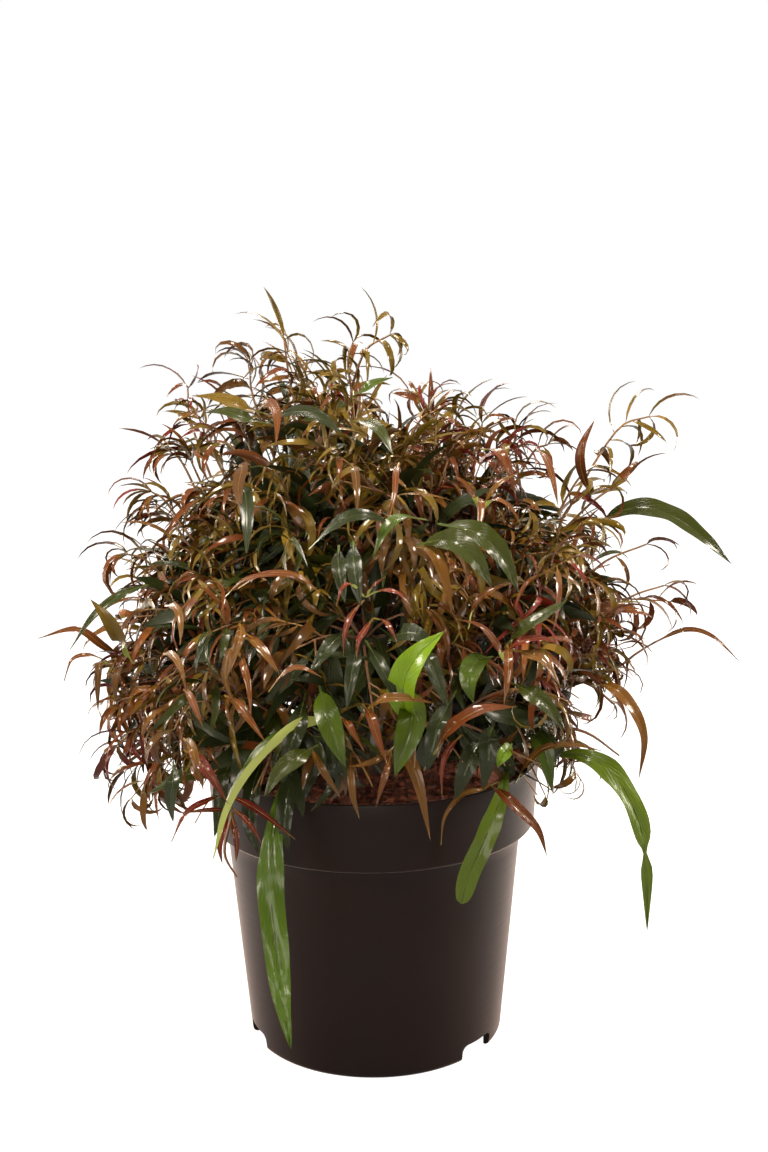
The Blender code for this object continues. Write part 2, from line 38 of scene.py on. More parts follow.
# Pot, as the part's source has it
POT_HEIGHT = 0.165
RIM_RADIUS = 0.095
COLLAR_FOOT_RADIUS = 0.0923
COLLAR_FOOT_HEIGHT = 0.1264
COLLAR_ROUND = 0.002
NECK_RADIUS = 0.0847
BASE_RADIUS = 0.0733
BASE_ROUND = 0.003
WALL = 0.0018
FLOOR = 0.003
CENTRE_DISC_RADIUS = 0.050
CHANNEL_SLOPE = 0.003
CHANNEL_HEIGHT = 0.010
POT_SEGMENTS = 144
NOTCH_COUNT = 3
NOTCH_TURN = -39
NOTCH_WIDTH = 0.026
NOTCH_DEPTH = 0.005
NOTCH_HEIGHT = 0.0095
NOTCH_CORNER = 0.004

# Soil and stool
SOIL_HEIGHT = 0.1560
SOIL_RADIUS = 0.0918
SOIL_SEGMENTS = 96
SOIL_RINGS = 46
SOIL_LUMP = 0.0022
CRUMBS = 2600
STOOL_FLARE_RADIUS = 0.0175
STOOL_WAIST_RADIUS = 0.0120
STOOL_TOP_RADIUS = 0.0050
STOOL_FLARE_HEIGHT = 0.0045
STOOL_SHOULDER_HEIGHT = 0.0095
STOOL_HEIGHT = 0.0165
STOOL_SIDES = 14
STOOL_GROUND = 0.1568

# Stems and boughs
SETTING_OUT = 0.002
GAP = 0.0003
STEM_FOOT_RADIUS = 0.0026
STEM_TIP_RADIUS = 0.0018
LEADER_FOOT_RADIUS = 0.0036
LEADER_TIP_RADIUS = 0.0021
LEADER_TIP = Vector((-0.006, 0.002, 0.270))
LEADER_BOW = Vector((0.004, 0.0, 0.0))
OUTER_STEMS = 7
OUTER_STEM_REACH = 0.063
OUTER_STEM_HEIGHT = 0.228
BOUGH_FOOT_RADIUS = 0.0017
BOUGH_TIP_RADIUS = 0.0013
SIDE_BOUGH_FROM = 0.58
UPPER_BOUGH_FROM = 0.45
UPPER_BOUGH_TO = 0.88
LIMB_SIDES = 12
LIMB_STEPS = 44
BARK_RELIEF = 0.10
BARK_NODE_SPACING = 0.014

# Dome of foliage
HEART = Vector((0.0, 0.0, 0.215))
CROWN_SIDE = 0.164
CROWN_UP = 0.174
CROWN_DOWN = 0.125
LONGEST_REACH = 0.191
SKIRT_HEIGHT = 0.150
FRONT_SKIRT_LIFT = 0.036
HANG_HEIGHT = 0.124
WINDOW_TURN = -76
WINDOW_LIFT = 0.056
WINDOW_SLOPE = 0.34
LEAF_CLEARANCE = 0.003
EYE = Vector((0.0, -0.885, 0.436))
# Gaps through which the sky shows from the front: how far right and up in millimetres, and their radius
SKY_GAPS = (
    (-108, 318, 4),
    (-97, 327, 4),
    (-85, 331, 3),
    (-119, 292, 3),
    (-149, 233, 4),
    (-137, 251, 3),
    (-56, 334, 2),
    (-48, 369, 2),
    (61, 325, 3),
    (91, 315, 5),
    (110, 329, 3),
    (130, 309, 3),
    (146, 295, 3),
    (137, 271, 4),
    (159, 276, 6),
    (157, 260, 5),
    (169, 255, 3),
    (161, 236, 3),
    (147, 221, 3),
    (120, 196, 8),
    (134, 187, 4),
    (125, 173, 6),
)
LONG_LEAF_MARGIN = 0.004
TIERS = {
    "top": {"count": 1, "turn": 0, "radius": 0.000, "height": 0.372, "mouth": (0.000, 0.318)},
    "upper": {"count": 5, "turn": -54, "radius": 0.095, "height": 0.335, "mouth": (0.050, 0.292)},
    "middle": {"count": 7, "turn": -94.3, "radius": 0.138, "height": 0.268, "mouth": (0.078, 0.244)},
    "lower": {"count": 7, "turn": -120, "radius": 0.140, "height": 0.188, "mouth": (0.082, 0.200)},
}
SHOOTS = 380
TOWARDS_TOP = 1.06
SHORTEST_TWIG = 0.50
LONGEST_TWIG = 0.84
TWIG_LIFT = 0.16
CARRIER_REACH = 0.62
CARRIER_FOOT_RADIUS = 0.0013
CARRIER_TIP_RADIUS = 0.0009
TWIG_FOOT_RADIUS = 0.0009
TWIG_TIP_RADIUS = 0.0005

# Hollows and swellings of the dome: azimuth, height and width in degrees, and the share it gains
SWELLINGS = (
    (-17, -24, 26, -0.30),
    (-2, -4, 18, -0.12),
    (10, 14, 16, 0.06),
    (180, 62, 14, 0.05),
    (180, 8, 16, -0.05),
    (0, 80, 14, -0.05),
    (180, 30, 26, -0.11),
    (5, 60, 26, -0.09),
    (-30, 40, 22, 0.05),
    (150, 60, 26, 0.05),
    (70, 20, 30, -0.06),
)

# Leaves: length and width ranges in metres, how far the rib bends down in degrees, how deep the fold is,
# the distance between leaves on their shoot, and how many stations the blade has
LEAF_KINDS = {
    "old": {"length": (0.036, 0.054), "width": (0.0070, 0.0116), "arch": (15, 80), "fold": 0.26, "spacing": 0.0075},
    "mature": {"length": (0.030, 0.046), "width": (0.0042, 0.0078), "arch": (30, 120), "fold": 0.42, "spacing": 0.0060},
    "young": {"length": (0.026, 0.048), "width": (0.0025, 0.0058), "arch": (45, 175), "fold": 0.55, "spacing": 0.0058},
    "newest": {"length": (0.016, 0.034), "width": (0.0020, 0.0036), "arch": (20, 150), "fold": 0.60, "spacing": 0.0034},
}
BROAD_KINDS = ("old", "mature")
BROAD_STATIONS = (0.0, 0.05, 0.16, 0.32, 0.50, 0.68, 0.84, 0.94, 1.0)
SLIM_STATIONS = (0.0, 0.07, 0.19, 0.32, 0.46, 0.60, 0.74, 0.88, 1.0)
SLIM_JOINT = 3
LEAF_THICKNESS = 0.00040
PETIOLE_HALF_WIDTH = 0.00038
LEAF_ROOT = 0.0006

# Plain base colours of the leaves (linear), their roughness, and the record's slot
TINTS = {
    "crimson": ((0.086, 0.010, 0.006), 0.22, "leaf_crimson"),
    "wine": ((0.062, 0.010, 0.006), 0.23, "leaf_crimson"),
    "copper": ((0.076, 0.022, 0.004), 0.24, "leaf_copper"),
    "rust": ((0.072, 0.018, 0.004), 0.25, "leaf_copper"),
    "orange": ((0.128, 0.042, 0.008), 0.26, "leaf_orange"),
    "bronze": ((0.082, 0.034, 0.005), 0.26, "leaf_bronze"),
    "umber": ((0.048, 0.020, 0.004), 0.27, "leaf_bronze"),
    "olive": ((0.080, 0.049, 0.004), 0.28, "leaf_olive"),
    "straw": ((0.125, 0.072, 0.009), 0.32, "leaf_olive"),
    "green": ((0.020, 0.0245, 0.003), 0.26, "leaf_green"),
    "fresh": ((0.030, 0.048, 0.003), 0.27, "leaf_green"),
    "meadow": ((0.035, 0.063, 0.005), 0.28, "leaf_green"),
    "grass": ((0.053, 0.080, 0.005), 0.30, "leaf_green"),
    "lime": ((0.090, 0.152, 0.005), 0.32, "leaf_lime"),
    "dark": ((0.0115, 0.0145, 0.0035), 0.24, "leaf_dark"),
    "slate": ((0.0125, 0.0165, 0.005), 0.24, "leaf_dark"),
}
STALK_TINT = ((0.130, 0.070, 0.012), 0.36, "leaf_underside")
VEIN_TINT = ((0.040, 0.055, 0.014), 0.36, "leaf_underside")
UNDERSIDE_TINT = ((0.310, 0.350, 0.090), 0.45, "leaf_underside")
# A slim leaf keeps one of these tints near its stalk
TINTS_NEAR_STALK = {
    "crimson": ("wine", "crimson", "bronze"),
    "wine": ("wine", "umber"),
    "copper": ("olive", "olive", "bronze"),
    "rust": ("umber", "olive", "rust"),
    "orange": ("olive", "copper"),
    "bronze": ("olive", "bronze", "umber"),
    "umber": ("bronze", "olive", "umber"),
    "olive": ("straw", "olive"),
    "straw": ("straw", "olive"),
    "green": ("green",),
}

# How the tints are dealt to the sprays of broad leaves, by share
BROAD_DEALS = {
    "old": {"dark": 5, "slate": 4, "green": 2},
    "mature": {"green": 2.5, "dark": 3.5, "umber": 2.5, "olive": 1.5, "bronze": 1.5},
}
# What a patch of the dome carries: how many old leaves inside on each twig, the kinds of leaf on its sprays and the
# tints of its slim leaves, by share
MOODS = {
    "copper": {
        "inner": 4,
        "kinds": {"young": 7, "newest": 1.2, "mature": 0.3},
        "tints": {"copper": 4, "rust": 3.4, "orange": 1, "umber": 1, "olive": 2.4, "bronze": 1.6, "crimson": 0.7},
    },
    "olive": {
        "inner": 3,
        "kinds": {"young": 6, "newest": 1, "mature": 1.4},
        "tints": {"olive": 5.5, "bronze": 3, "copper": 1.6, "straw": 0.4, "green": 0.5, "rust": 1},
    },
    "crimson": {
        "inner": 2,
        "kinds": {"young": 5, "newest": 4, "mature": 0.5},
        "tints": {"crimson": 2, "wine": 2.5, "copper": 3, "rust": 2.5, "bronze": 2},
    },
    "bronze": {
        "inner": 3,
        "kinds": {"young": 6, "newest": 1, "mature": 1.2},
        "tints": {"bronze": 3, "umber": 2, "rust": 2.5, "copper": 2, "olive": 3, "green": 0.4},
    },
    "deep": {
        "inner": 4,
        "kinds": {"young": 4.5, "mature": 3.5, "old": 2},
        "tints": {"olive": 3, "green": 1.2, "bronze": 2, "umber": 2, "rust": 2, "copper": 0.6},
    },
    "shade": {
        "inner": 6,
        "kinds": {"young": 2, "mature": 3, "old": 5},
        "tints": {"umber": 2, "bronze": 2, "green": 0.6, "rust": 2, "copper": 1, "crimson": 0.6},
    },
}
# The patches: azimuth and height in degrees of each one's middle, and its mood
PATCHES = (
    (-90, 80, "olive"),
    (-140, 52, "olive"),
    (-50, 58, "crimson"),
    (-95, 42, "deep"),
    (-20, 34, "olive"),
    (-160, 18, "copper"),
    (-130, 14, "bronze"),
    (-145, -14, "copper"),
    (-150, 5, "crimson"),
    (-34, 20, "crimson"),
    (-165, 36, "copper"),
    (-100, 8, "deep"),
    (-70, 12, "bronze"),
    (-88, -14, "shade"),
    (-50, 8, "copper"),
    (-50, -18, "shade"),
    (-15, 0, "copper"),
    (-15, -24, "bronze"),
    (20, 30, "bronze"),
    (35, 2, "olive"),
    (60, 45, "copper"),
    (80, 8, "copper"),
    (75, -20, "shade"),
    (110, 30, "crimson"),
    (120, 0, "bronze"),
    (135, -20, "copper"),
    (150, 50, "bronze"),
    (165, 8, "olive"),
)
RAGGED_BORDER = 0.15

# Slim shoots that stand out of the dome: mood and path in millimetres
LEAD_SHOOTS = (
    ("olive", (-7, 2, 340), (-9, -2, 370), (-11, -4, 388), (-8, -4, 398)),
    ("copper", (-9, 0, 374), (-1, -6, 394), (12, -6, 402)),
    ("olive", (-34, -10, 340), (-42, -12, 376), (-45, -12, 400)),
    ("bronze", (-52, -6, 335), (-63, -8, 370), (-64, -8, 386)),
    ("crimson", (-88, 0, 325), (-98, -2, 356), (-99, -2, 374)),
    ("olive", (-90, -10, 306), (-102, -12, 334), (-109, -12, 341)),
    ("copper", (-98, -20, 294), (-110, -30, 316), (-117, -30, 321)),
    ("copper", (-108, -20, 266), (-122, -30, 284), (-131, -30, 287)),
    ("olive", (108, -4, 300), (124, -6, 330), (139, -6, 351), (154, -6, 356)),
    ("crimson", (52, -10, 325), (60, -12, 344), (62, -12, 354)),
    ("crimson", (78, -10, 316), (90, -12, 338), (98, -12, 342)),
    ("copper", (106, -20, 296), (122, -30, 314), (138, -30, 324)),
    ("copper", (112, -20, 262), (128, -30, 280), (150, -30, 289)),
    ("copper", (122, -20, 244), (142, -30, 260), (160, -30, 266)),
    ("olive", (18, -6, 335), (28, -12, 356), (36, -12, 361)),
    ("olive", (-78, -6, 322), (-88, -10, 346), (-92, -12, 358)),
    ("bronze", (-62, -4, 332), (-70, -8, 354), (-76, -10, 364)),
    ("olive", (-84, -8, 302), (-94, -14, 328), (-97, -16, 336)),
    ("copper", (-98, -14, 286), (-110, -20, 306), (-116, -22, 312)),
    ("bronze", (40, -6, 330), (46, -10, 350), (48, -12, 358)),
    ("copper", (84, -8, 314), (80, -12, 340), (80, -14, 348)),
    ("copper", (100, -10, 296), (112, -16, 320), (118, -20, 328)),
    ("copper", (30, 30, 330), (36, 40, 354), (30, 46, 364)),
    ("olive", (-34, 48, 338), (-40, 58, 364), (-44, 66, 376)),
)
BARE_TWIGS = (
    ((96, -4, 206), (116, -6, 211), (135, -6, 212), (152, -6, 224), (167, -5, 232)),
    ((92, -40, 192), (116, -45, 188), (134, -50, 176)),
    ((110, -6, 210), (124, -16, 206), (134, -24, 198)),
    ((-74, -82, 158), (-78, -92, 140), (-72, -92, 126)),
)

# The ways in which the upper side of a leaf that catches the eye may face
FACINGS = {
    "front": (0.0, -1.0, 0.25),
    "left": (-0.3, -0.9, 0.4),
    "right": (0.3, -0.9, 0.4),
    "up": (0.0, -0.7, 0.7),
    "up_left": (-0.3, -0.6, 0.7),
    "up_right": (0.3, -0.6, 0.7),
    "side": (-0.85, 0.0, 0.5),
}
# Single leaves that catch the eye: tint, outline, width in millimetres, facing, how wavy the edges are, and
# the path in millimetres
LONG_LEAVES = (
    # long green ones that hang over the rim and off the right side
    ("meadow", "band", 14, "front", 0.6,
     (-43, -70, 192), (-50, -97, 163), (-53, -114, 132), (-50, -124, 97), (-47, -134, 74), (-43, -140, 53)),
    ("fresh", "keel", 12, "side", 0.2, (-14, -95, 212), (-36, -130, 216), (-54, -135, 203), (-70, -132, 179), (-81, -125, 147)),
    ("grass", "ribbon", 11, "front", 0.3, (74, -62, 184), (66, -92, 168), (57, -101, 148), (49, -102, 130), (45, -99, 112)),
    ("grass", "pinched", 13, "right", 0.5,
     (88, -34, 168), (110, -56, 179), (129, -62, 169), (143, -61, 143), (148, -59, 116), (150, -56, 76)),
    # broad green ones within the front
    ("green", "lance", 12.5, "up", 0.3, (122, -8, 296), (143, -20, 307), (163, -25, 304), (181, -30, 292), (197, -30, 277)),
    ("lime", "lance", 15, "left", 0.1, (24, -126, 216), (15, -152, 234), (16, -165, 252), (23, -168, 264), (34, -165, 273)),
    ("fresh", "lance", 13.5, "front", 0.2, (20, -130, 238), (19, -150, 229), (15, -158, 216), (10, -160, 201)),
    ("fresh", "lance", 12, "front", 0.2, (-26, -126, 238), (-22, -145, 229), (-18, -152, 218), (-13, -154, 204)),
    ("green", "lance", 13, "up", 0.3, (22, -124, 306), (36, -142, 311), (48, -148, 304), (57, -150, 290)),
    ("green", "lance", 12, "right", 0.3, (32, -120, 316), (50, -138, 314), (62, -142, 303), (70, -144, 286)),
    ("fresh", "lance", 7, "up_left", 0.2, (28, -122, 318), (15, -140, 322), (7, -148, 317), (1, -150, 304)),
    ("fresh", "lance", 11, "left", 0.2, (60, -122, 250), (50, -142, 252), (46, -150, 245), (48, -150, 234)),
    ("green", "lance", 12, "up_left", 0.2, (-66, -52, 172), (-84, -72, 178), (-99, -78, 177), (-121, -78, 166)),
    ("green", "strap", 9, "left", 0.2, (-26, -137, 211), (-34, -158, 212), (-44, -160, 205), (-52, -156, 191)),
    ("fresh", "lance", 10, "front", 0.2, (85, -60, 195), (88, -78, 193), (91, -82, 183), (94, -82, 166)),
    ("lime", "lance", 7, "front", 0.1, (72, -90, 196), (68, -102, 196), (65, -106, 193), (63, -106, 188)),
    ("green", "strap", 9, "right", 0.3, (67, -120, 237), (75, -142, 237), (84, -143, 230), (93, -139, 217)),
    ("green", "strap", 8, "up_left", 0.3, (65, -118, 253), (71, -138, 266), (82, -137, 273), (95, -128, 279)),
    ("green", "lance", 5, "left", 0.2, (-116, -60, 276), (-129, -70, 273), (-144, -70, 262), (-159, -65, 242)),
    ("green", "lance", 8, "right", 0.2, (-7, -70, 361), (-1, -87, 362), (6, -100, 358), (12, -111, 348)),
    ("fresh", "lance", 5.5, "up", 0.1, (-10, -40, 370), (-3, -58, 376), (4, -57, 380), (13, -50, 382)),
    # old dark ones that hang in the shade of the front
    ("slate", "strap", 7, "front", 0.2, (-6, -134, 262), (-8, -152, 258), (-10, -160, 249), (-12, -162, 235)),
    ("slate", "strap", 7, "right", 0.2, (-3, -134, 262), (2, -152, 257), (7, -160, 249), (12, -162, 239)),
    ("dark", "strap", 8, "left", 0.2, (-9, -130, 266), (-16, -148, 266), (-22, -156, 261), (-29, -158, 252)),
    ("dark", "strap", 7, "front", 0.2, (-15, -130, 308), (-15, -148, 303), (-14, -156, 296), (-12, -158, 285)),
    ("slate", "strap", 7.5, "front", 0.2, (-8, -130, 310), (-8, -150, 305), (-7, -158, 296), (-5, -160, 284)),
    ("dark", "strap", 8, "up", 0.2, (-30, -128, 305), (-16, -145, 320), (-4, -150, 325), (8, -150, 322)),
    ("slate", "strap", 10, "front", 0.3, (62, -100, 210), (58, -116, 207), (57, -120, 197), (55, -118, 180)),
    ("dark", "strap", 10, "front", 0.3, (56, -100, 202), (50, -118, 200), (45, -122, 190), (41, -120, 176)),
    ("slate", "strap", 10, "front", 0.3, (42, -116, 232), (33, -135, 222), (29, -140, 211), (26, -140, 197)),
    ("dark", "strap", 8.5, "right", 0.2, (24, -135, 261), (26, -156, 259), (30, -161, 249), (35, -164, 236)),
    ("slate", "strap", 11, "up", 0.3, (8, -138, 262), (13, -155, 269), (20, -158, 270), (28, -159, 266)),
    ("dark", "strap", 10, "front", 0.3, (-33, -108, 230), (-36, -128, 221), (-40, -135, 210), (-44, -136, 191)),
    ("slate", "strap", 9.5, "front", 0.3, (-36, -72, 186), (-43, -92, 176), (-46, -102, 160), (-44, -104, 144)),
    ("dark", "strap", 8, "left", 0.3, (-70, -64, 186), (-78, -84, 178), (-80, -90, 162), (-83, -92, 148)),
    ("dark", "strap", 9, "front", 0.3, (-56, -70, 188), (-62, -92, 176), (-64, -98, 158), (-60, -100, 142)),
    ("slate", "strap", 7.5, "left", 0.2, (-101, -106, 194), (-99, -122, 190), (-101, -122, 179), (-101, -116, 165)),
    ("dark", "strap", 9, "up", 0.2, (-52, -54, 360), (-40, -70, 366), (-27, -82, 366), (-13, -99, 358)),
    ("slate", "strap", 7, "front", 0.2, (-66, -90, 331), (-61, -107, 330), (-59, -122, 319), (-59, -133, 304)),
    ("umber", "strap", 7, "left", 0.2, (-66, -76, 340), (-63, -92, 341), (-64, -107, 333), (-62, -118, 323)),
    # broad bronze and copper ones on the right
    ("bronze", "lance", 7, "right", 0.2, (117, -55, 217), (125, -75, 221), (134, -82, 213), (141, -84, 196), (139, -82, 171)),
    ("copper", "lance", 3.4, "up", 0.1, (158, -4, 227), (177, -4, 235), (193, -4, 231), (209, -4, 216)),
    ("bronze", "lance", 4.5, "up_left", 0.2, (75, -70, 167), (80, -86, 183), (89, -90, 193), (104, -88, 194), (120, -84, 189)),
    ("rust", "lance", 6, "right", 0.2, (60, -78, 171), (66, -100, 172), (75, -104, 164), (84, -105, 154), (89, -105, 139)),
    ("bronze", "lance", 3.4, "up_left", 0.1, (67, -80, 173), (56, -104, 176), (45, -110, 175), (36, -112, 164), (34, -110, 148)),
    ("rust", "lance", 7.5, "up_left", 0.3, (29, -142, 206), (37, -158, 224), (51, -159, 233), (69, -153, 233)),
    ("bronze", "lance", 7, "up_right", 0.2, (67, -124, 254), (75, -140, 255), (83, -141, 251), (91, -139, 238)),
    ("rust", "lance", 3.4, "up_left", 0.1, (67, -126, 243), (61, -147, 259), (52, -150, 271), (39, -153, 276)),
    ("copper", "lance", 4.5, "front", 0.1, (66, -126, 257), (65, -145, 256), (64, -152, 246), (62, -155, 234)),
    ("crimson", "lance", 3.6, "up", 0.1, (62, -126, 250), (70, -141, 261), (81, -140, 263), (90, -138, 259)),
    ("crimson", "lance", 3.1, "left", 0.0, (45, -110, 207), (38, -124, 204), (34, -128, 195), (34, -126, 180)),
    ("copper", "lance", 3.8, "up_left", 0.1, (47, -128, 265), (49, -143, 280), (57, -143, 287), (71, -137, 291)),
    ("rust", "lance", 5.5, "left", 0.1, (120, -26, 314), (112, -45, 333), (112, -48, 345), (119, -46, 359)),
    ("rust", "lance", 5.5, "right", 0.1, (56, -76, 347), (63, -98, 348), (68, -104, 341), (72, -106, 326)),
    ("copper", "lance", 4.5, "right", 0.1, (86, -60, 346), (89, -80, 342), (91, -94, 334), (93, -104, 321)),
    # a star of copper ones high on the right
    ("copper", "lance", 3.1, "up_left", 0.0, (55, -100, 318), (51, -115, 328), (46, -117, 335), (40, -116, 339)),
    ("copper", "lance", 3.6, "front", 0.0, (55, -100, 320), (54, -117, 326), (53, -127, 319), (50, -135, 309)),
    ("copper", "lance", 3.1, "up_right", 0.0, (55, -100, 318), (60, -113, 326), (67, -118, 324), (73, -121, 315)),
    ("bronze", "lance", 2.9, "up", 0.0, (55, -100, 318), (59, -111, 329), (65, -110, 335), (73, -105, 338)),
    # ones that hang in the middle
    ("bronze", "lance", 7, "right", 0.2, (22, -122, 305), (29, -142, 306), (34, -150, 296), (38, -152, 278)),
    ("umber", "lance", 4, "front", 0.1, (-9, -98, 343), (-7, -113, 341), (-6, -126, 333), (-6, -134, 322)),
    ("rust", "lance", 3.2, "front", 0.1, (15, -96, 343), (13, -112, 340), (12, -125, 332), (9, -135, 320)),
    ("bronze", "lance", 5, "up", 0.1, (-4, -148, 230), (5, -163, 240), (16, -165, 241), (29, -164, 238)),
    ("rust", "lance", 5, "right", 0.1, (-5, -144, 233), (-1, -163, 232), (2, -167, 223), (7, -168, 209)),
    ("rust", "lance", 3.8, "right", 0.1, (-16, -144, 227), (-12, -163, 229), (-9, -167, 225), (-4, -167, 216)),
    ("bronze", "lance", 6.5, "front", 0.2, (12, -106, 206), (18, -125, 199), (23, -130, 185), (28, -130, 158)),
    ("copper", "lance", 3.4, "front", 0.1, (9, -118, 201), (7, -132, 197), (4, -134, 188), (1, -130, 176)),
    ("bronze", "lance", 3.8, "front", 0.1, (-11, -118, 201), (-11, -132, 195), (-10, -134, 183), (-7, -130, 170)),
    ("bronze", "lance", 3.8, "front", 0.1, (-31, -112, 202), (-27, -128, 199), (-22, -130, 191), (-16, -126, 179)),
    # copper and bronze ones on the left
    ("copper", "lance", 5, "up", 0.1, (-136, -10, 220), (-149, -20, 234), (-163, -22, 244), (-185, -22, 239)),
    ("olive", "lance", 8, "up_left", 0.1, (-126, -60, 233), (-130, -75, 250), (-136, -80, 263), (-144, -80, 273)),
    ("umber", "strap", 4.4, "left", 0.1, (-141, -50, 231), (-143, -64, 235), (-144, -68, 225), (-145, -66, 209)),
    ("umber", "strap", 4.4, "left", 0.1, (-130, -55, 233), (-132, -70, 234), (-134, -74, 226), (-134, -72, 214)),
    ("rust", "lance", 3.1, "up_left", 0.0, (-143, -40, 230), (-151, -50, 236), (-160, -52, 234), (-165, -52, 222)),
    ("bronze", "lance", 4.5, "front", 0.1, (-94, -120, 210), (-88, -138, 212), (-85, -144, 204), (-82, -143, 190)),
    ("wine", "lance", 6, "right", 0.1, (-94, -120, 204), (-85, -140, 205), (-78, -146, 198), (-70, -146, 184)),
    ("umber", "lance", 3.6, "left", 0.1, (-64, -126, 260), (-68, -143, 258), (-69, -150, 246), (-62, -156, 230)),
    ("bronze", "lance", 4.5, "front", 0.1, (-64, -124, 269), (-62, -143, 268), (-65, -148, 259), (-69, -151, 247)),
    ("copper", "lance", 4.5, "right", 0.1, (-72, -132, 235), (-64, -149, 235), (-58, -156, 229), (-50, -161, 219)),
    ("bronze", "lance", 4, "front", 0.1, (-103, -104, 274), (-95, -120, 276), (-92, -129, 270), (-92, -134, 260)),
    ("bronze", "lance", 3.8, "front", 0.1, (-104, -108, 250), (-97, -126, 254), (-92, -136, 250), (-89, -141, 239)),
    ("copper", "lance", 3.8, "right", 0.1, (-62, -128, 265), (-55, -146, 265), (-49, -154, 260), (-43, -159, 252)),
    ("rust", "lance", 3.6, "front", 0.1, (-93, -120, 235), (-88, -136, 236), (-84, -144, 230), (-81, -147, 223)),
    ("copper", "lance", 3.1, "up", 0.1, (-65, -120, 285), (-51, -136, 295), (-35, -145, 296), (-22, -151, 287)),
    ("rust", "lance", 2.9, "up", 0.1, (-72, -118, 280), (-60, -134, 292), (-45, -143, 296), (-31, -147, 294)),
    ("bronze", "lance", 3.8, "right", 0.1, (-62, -130, 263), (-56, -147, 265), (-50, -155, 260), (-44, -158, 252)),
    ("copper", "lance", 3.6, "front", 0.1, (-64, -132, 256), (-61, -147, 254), (-58, -154, 244), (-57, -158, 230)),
    ("copper", "lance", 3.4, "up", 0.1, (-50, -140, 238), (-41, -154, 251), (-33, -160, 255), (-23, -163, 251)),
    ("olive", "lance", 8, "up_left", 0.2, (-52, -38, 362), (-64, -52, 367), (-77, -48, 372), (-93, -40, 373)),
    ("green", "lance", 7, "up_left", 0.2, (-50, -48, 358), (-61, -63, 362), (-73, -60, 366), (-86, -52, 365)),
    ("copper", "lance", 5.5, "front", 0.1, (-58, -42, 365), (-51, -57, 370), (-46, -78, 365), (-46, -97, 351)),
    # glossy red ones at the rim
    ("crimson", "lance", 4, "up_left", 0.1, (-77, -82, 168), (-85, -98, 170), (-96, -104, 165), (-104, -106, 150)),
    ("crimson", "lance", 4.5, "up_right", 0.1, (-78, -82, 168), (-66, -100, 169), (-55, -104, 163), (-40, -106, 151)),
    ("wine", "lance", 3.1, "up_left", 0.0, (-73, -92, 164), (-78, -104, 167), (-87, -108, 168), (-97, -108, 167)),
    ("crimson", "lance", 2.9, "right", 0.0, (-74, -92, 164), (-67, -106, 164), (-61, -110, 158), (-57, -108, 149)),
    ("crimson", "lance", 3.6, "front", 0.0, (-75, -92, 162), (-77, -104, 157), (-79, -106, 148), (-78, -104, 137)),
    ("wine", "lance", 3.6, "front", 0.0, (-74, -92, 162), (-71, -106, 157), (-70, -108, 149), (-71, -106, 139)),
    # the red star in the middle of the front
    ("crimson", "lance", 2.7, "up_left", 0.0, (-3, -150, 286), (-9, -164, 295), (-13, -168, 294), (-16, -170, 286)),
    ("wine", "lance", 3.1, "left", 0.0, (-3, -150, 285), (-9, -166, 281), (-12, -172, 274), (-13, -172, 263)),
    ("crimson", "lance", 2.7, "up_right", 0.0, (-3, -150, 286), (5, -164, 292), (13, -168, 291), (19, -168, 283)),
    ("crimson", "lance", 2.9, "front", 0.0, (1, -150, 276), (-3, -166, 274), (-6, -172, 270), (-7, -172, 261)),
    ("wine", "lance", 2.8, "right", 0.0, (1, -150, 276), (6, -166, 278), (9, -172, 275), (12, -172, 268)),
    ("wine", "lance", 2.5, "up", 0.0, (-2, -150, 286), (1, -164, 294), (7, -166, 299)),
)
GREEN_TINTS = {"green", "fresh", "meadow", "grass", "lime", "dark", "slate"}
LONG_LEAF_STEPS = 36
LONG_LEAF_ACROSS = 4
LONG_LEAF_VEINS = 13
LONG_LEAF_THICKNESS = 0.0005

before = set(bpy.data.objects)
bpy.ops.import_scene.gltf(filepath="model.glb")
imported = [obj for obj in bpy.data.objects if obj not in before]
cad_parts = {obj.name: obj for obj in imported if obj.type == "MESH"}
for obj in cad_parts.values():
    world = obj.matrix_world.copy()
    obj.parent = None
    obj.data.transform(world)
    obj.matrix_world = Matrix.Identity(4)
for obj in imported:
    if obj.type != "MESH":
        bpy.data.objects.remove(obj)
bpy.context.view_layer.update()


def deselect():
    bpy.ops.object.select_all(action="DESELECT")


def finished(obj, slot, material, *nodes):
    """Gives a piece its material and its place in the assembly."""
    obj.data.materials.clear()
    obj.data.materials.append(material)
    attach(obj, "root")
    if nodes:
        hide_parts(*nodes)
    return obj


# Materials


def new_material(name, colour, roughness):
    material = bpy.data.materials.new(name)
    material.use_nodes = True
    shader = material.node_tree.nodes["Principled BSDF"]
    shader.inputs["Base Color"].default_value = (*colour, 1.0)
    shader.inputs["Roughness"].default_value = roughness
    return material, material.node_tree, shader


def add_noise(tree, scale, detail=4.0, stretch=None):
    """A noise texture on Object coordinates, with its own stretch on each axis."""
    place = tree.nodes.new("ShaderNodeTexCoord")
    texture = tree.nodes.new("ShaderNodeTexNoise")
    texture.inputs["Scale"].default_value = scale
    texture.inputs["Detail"].default_value = detail
    if stretch:
        mapping = tree.nodes.new("ShaderNodeMapping")
        mapping.inputs["Scale"].default_value = stretch
        tree.links.new(place.outputs["Object"], mapping.inputs["Vector"])
        tree.links.new(mapping.outputs["Vector"], texture.inputs["Vector"])
    else:
        tree.links.new(place.outputs["Object"], texture.inputs["Vector"])
    return texture


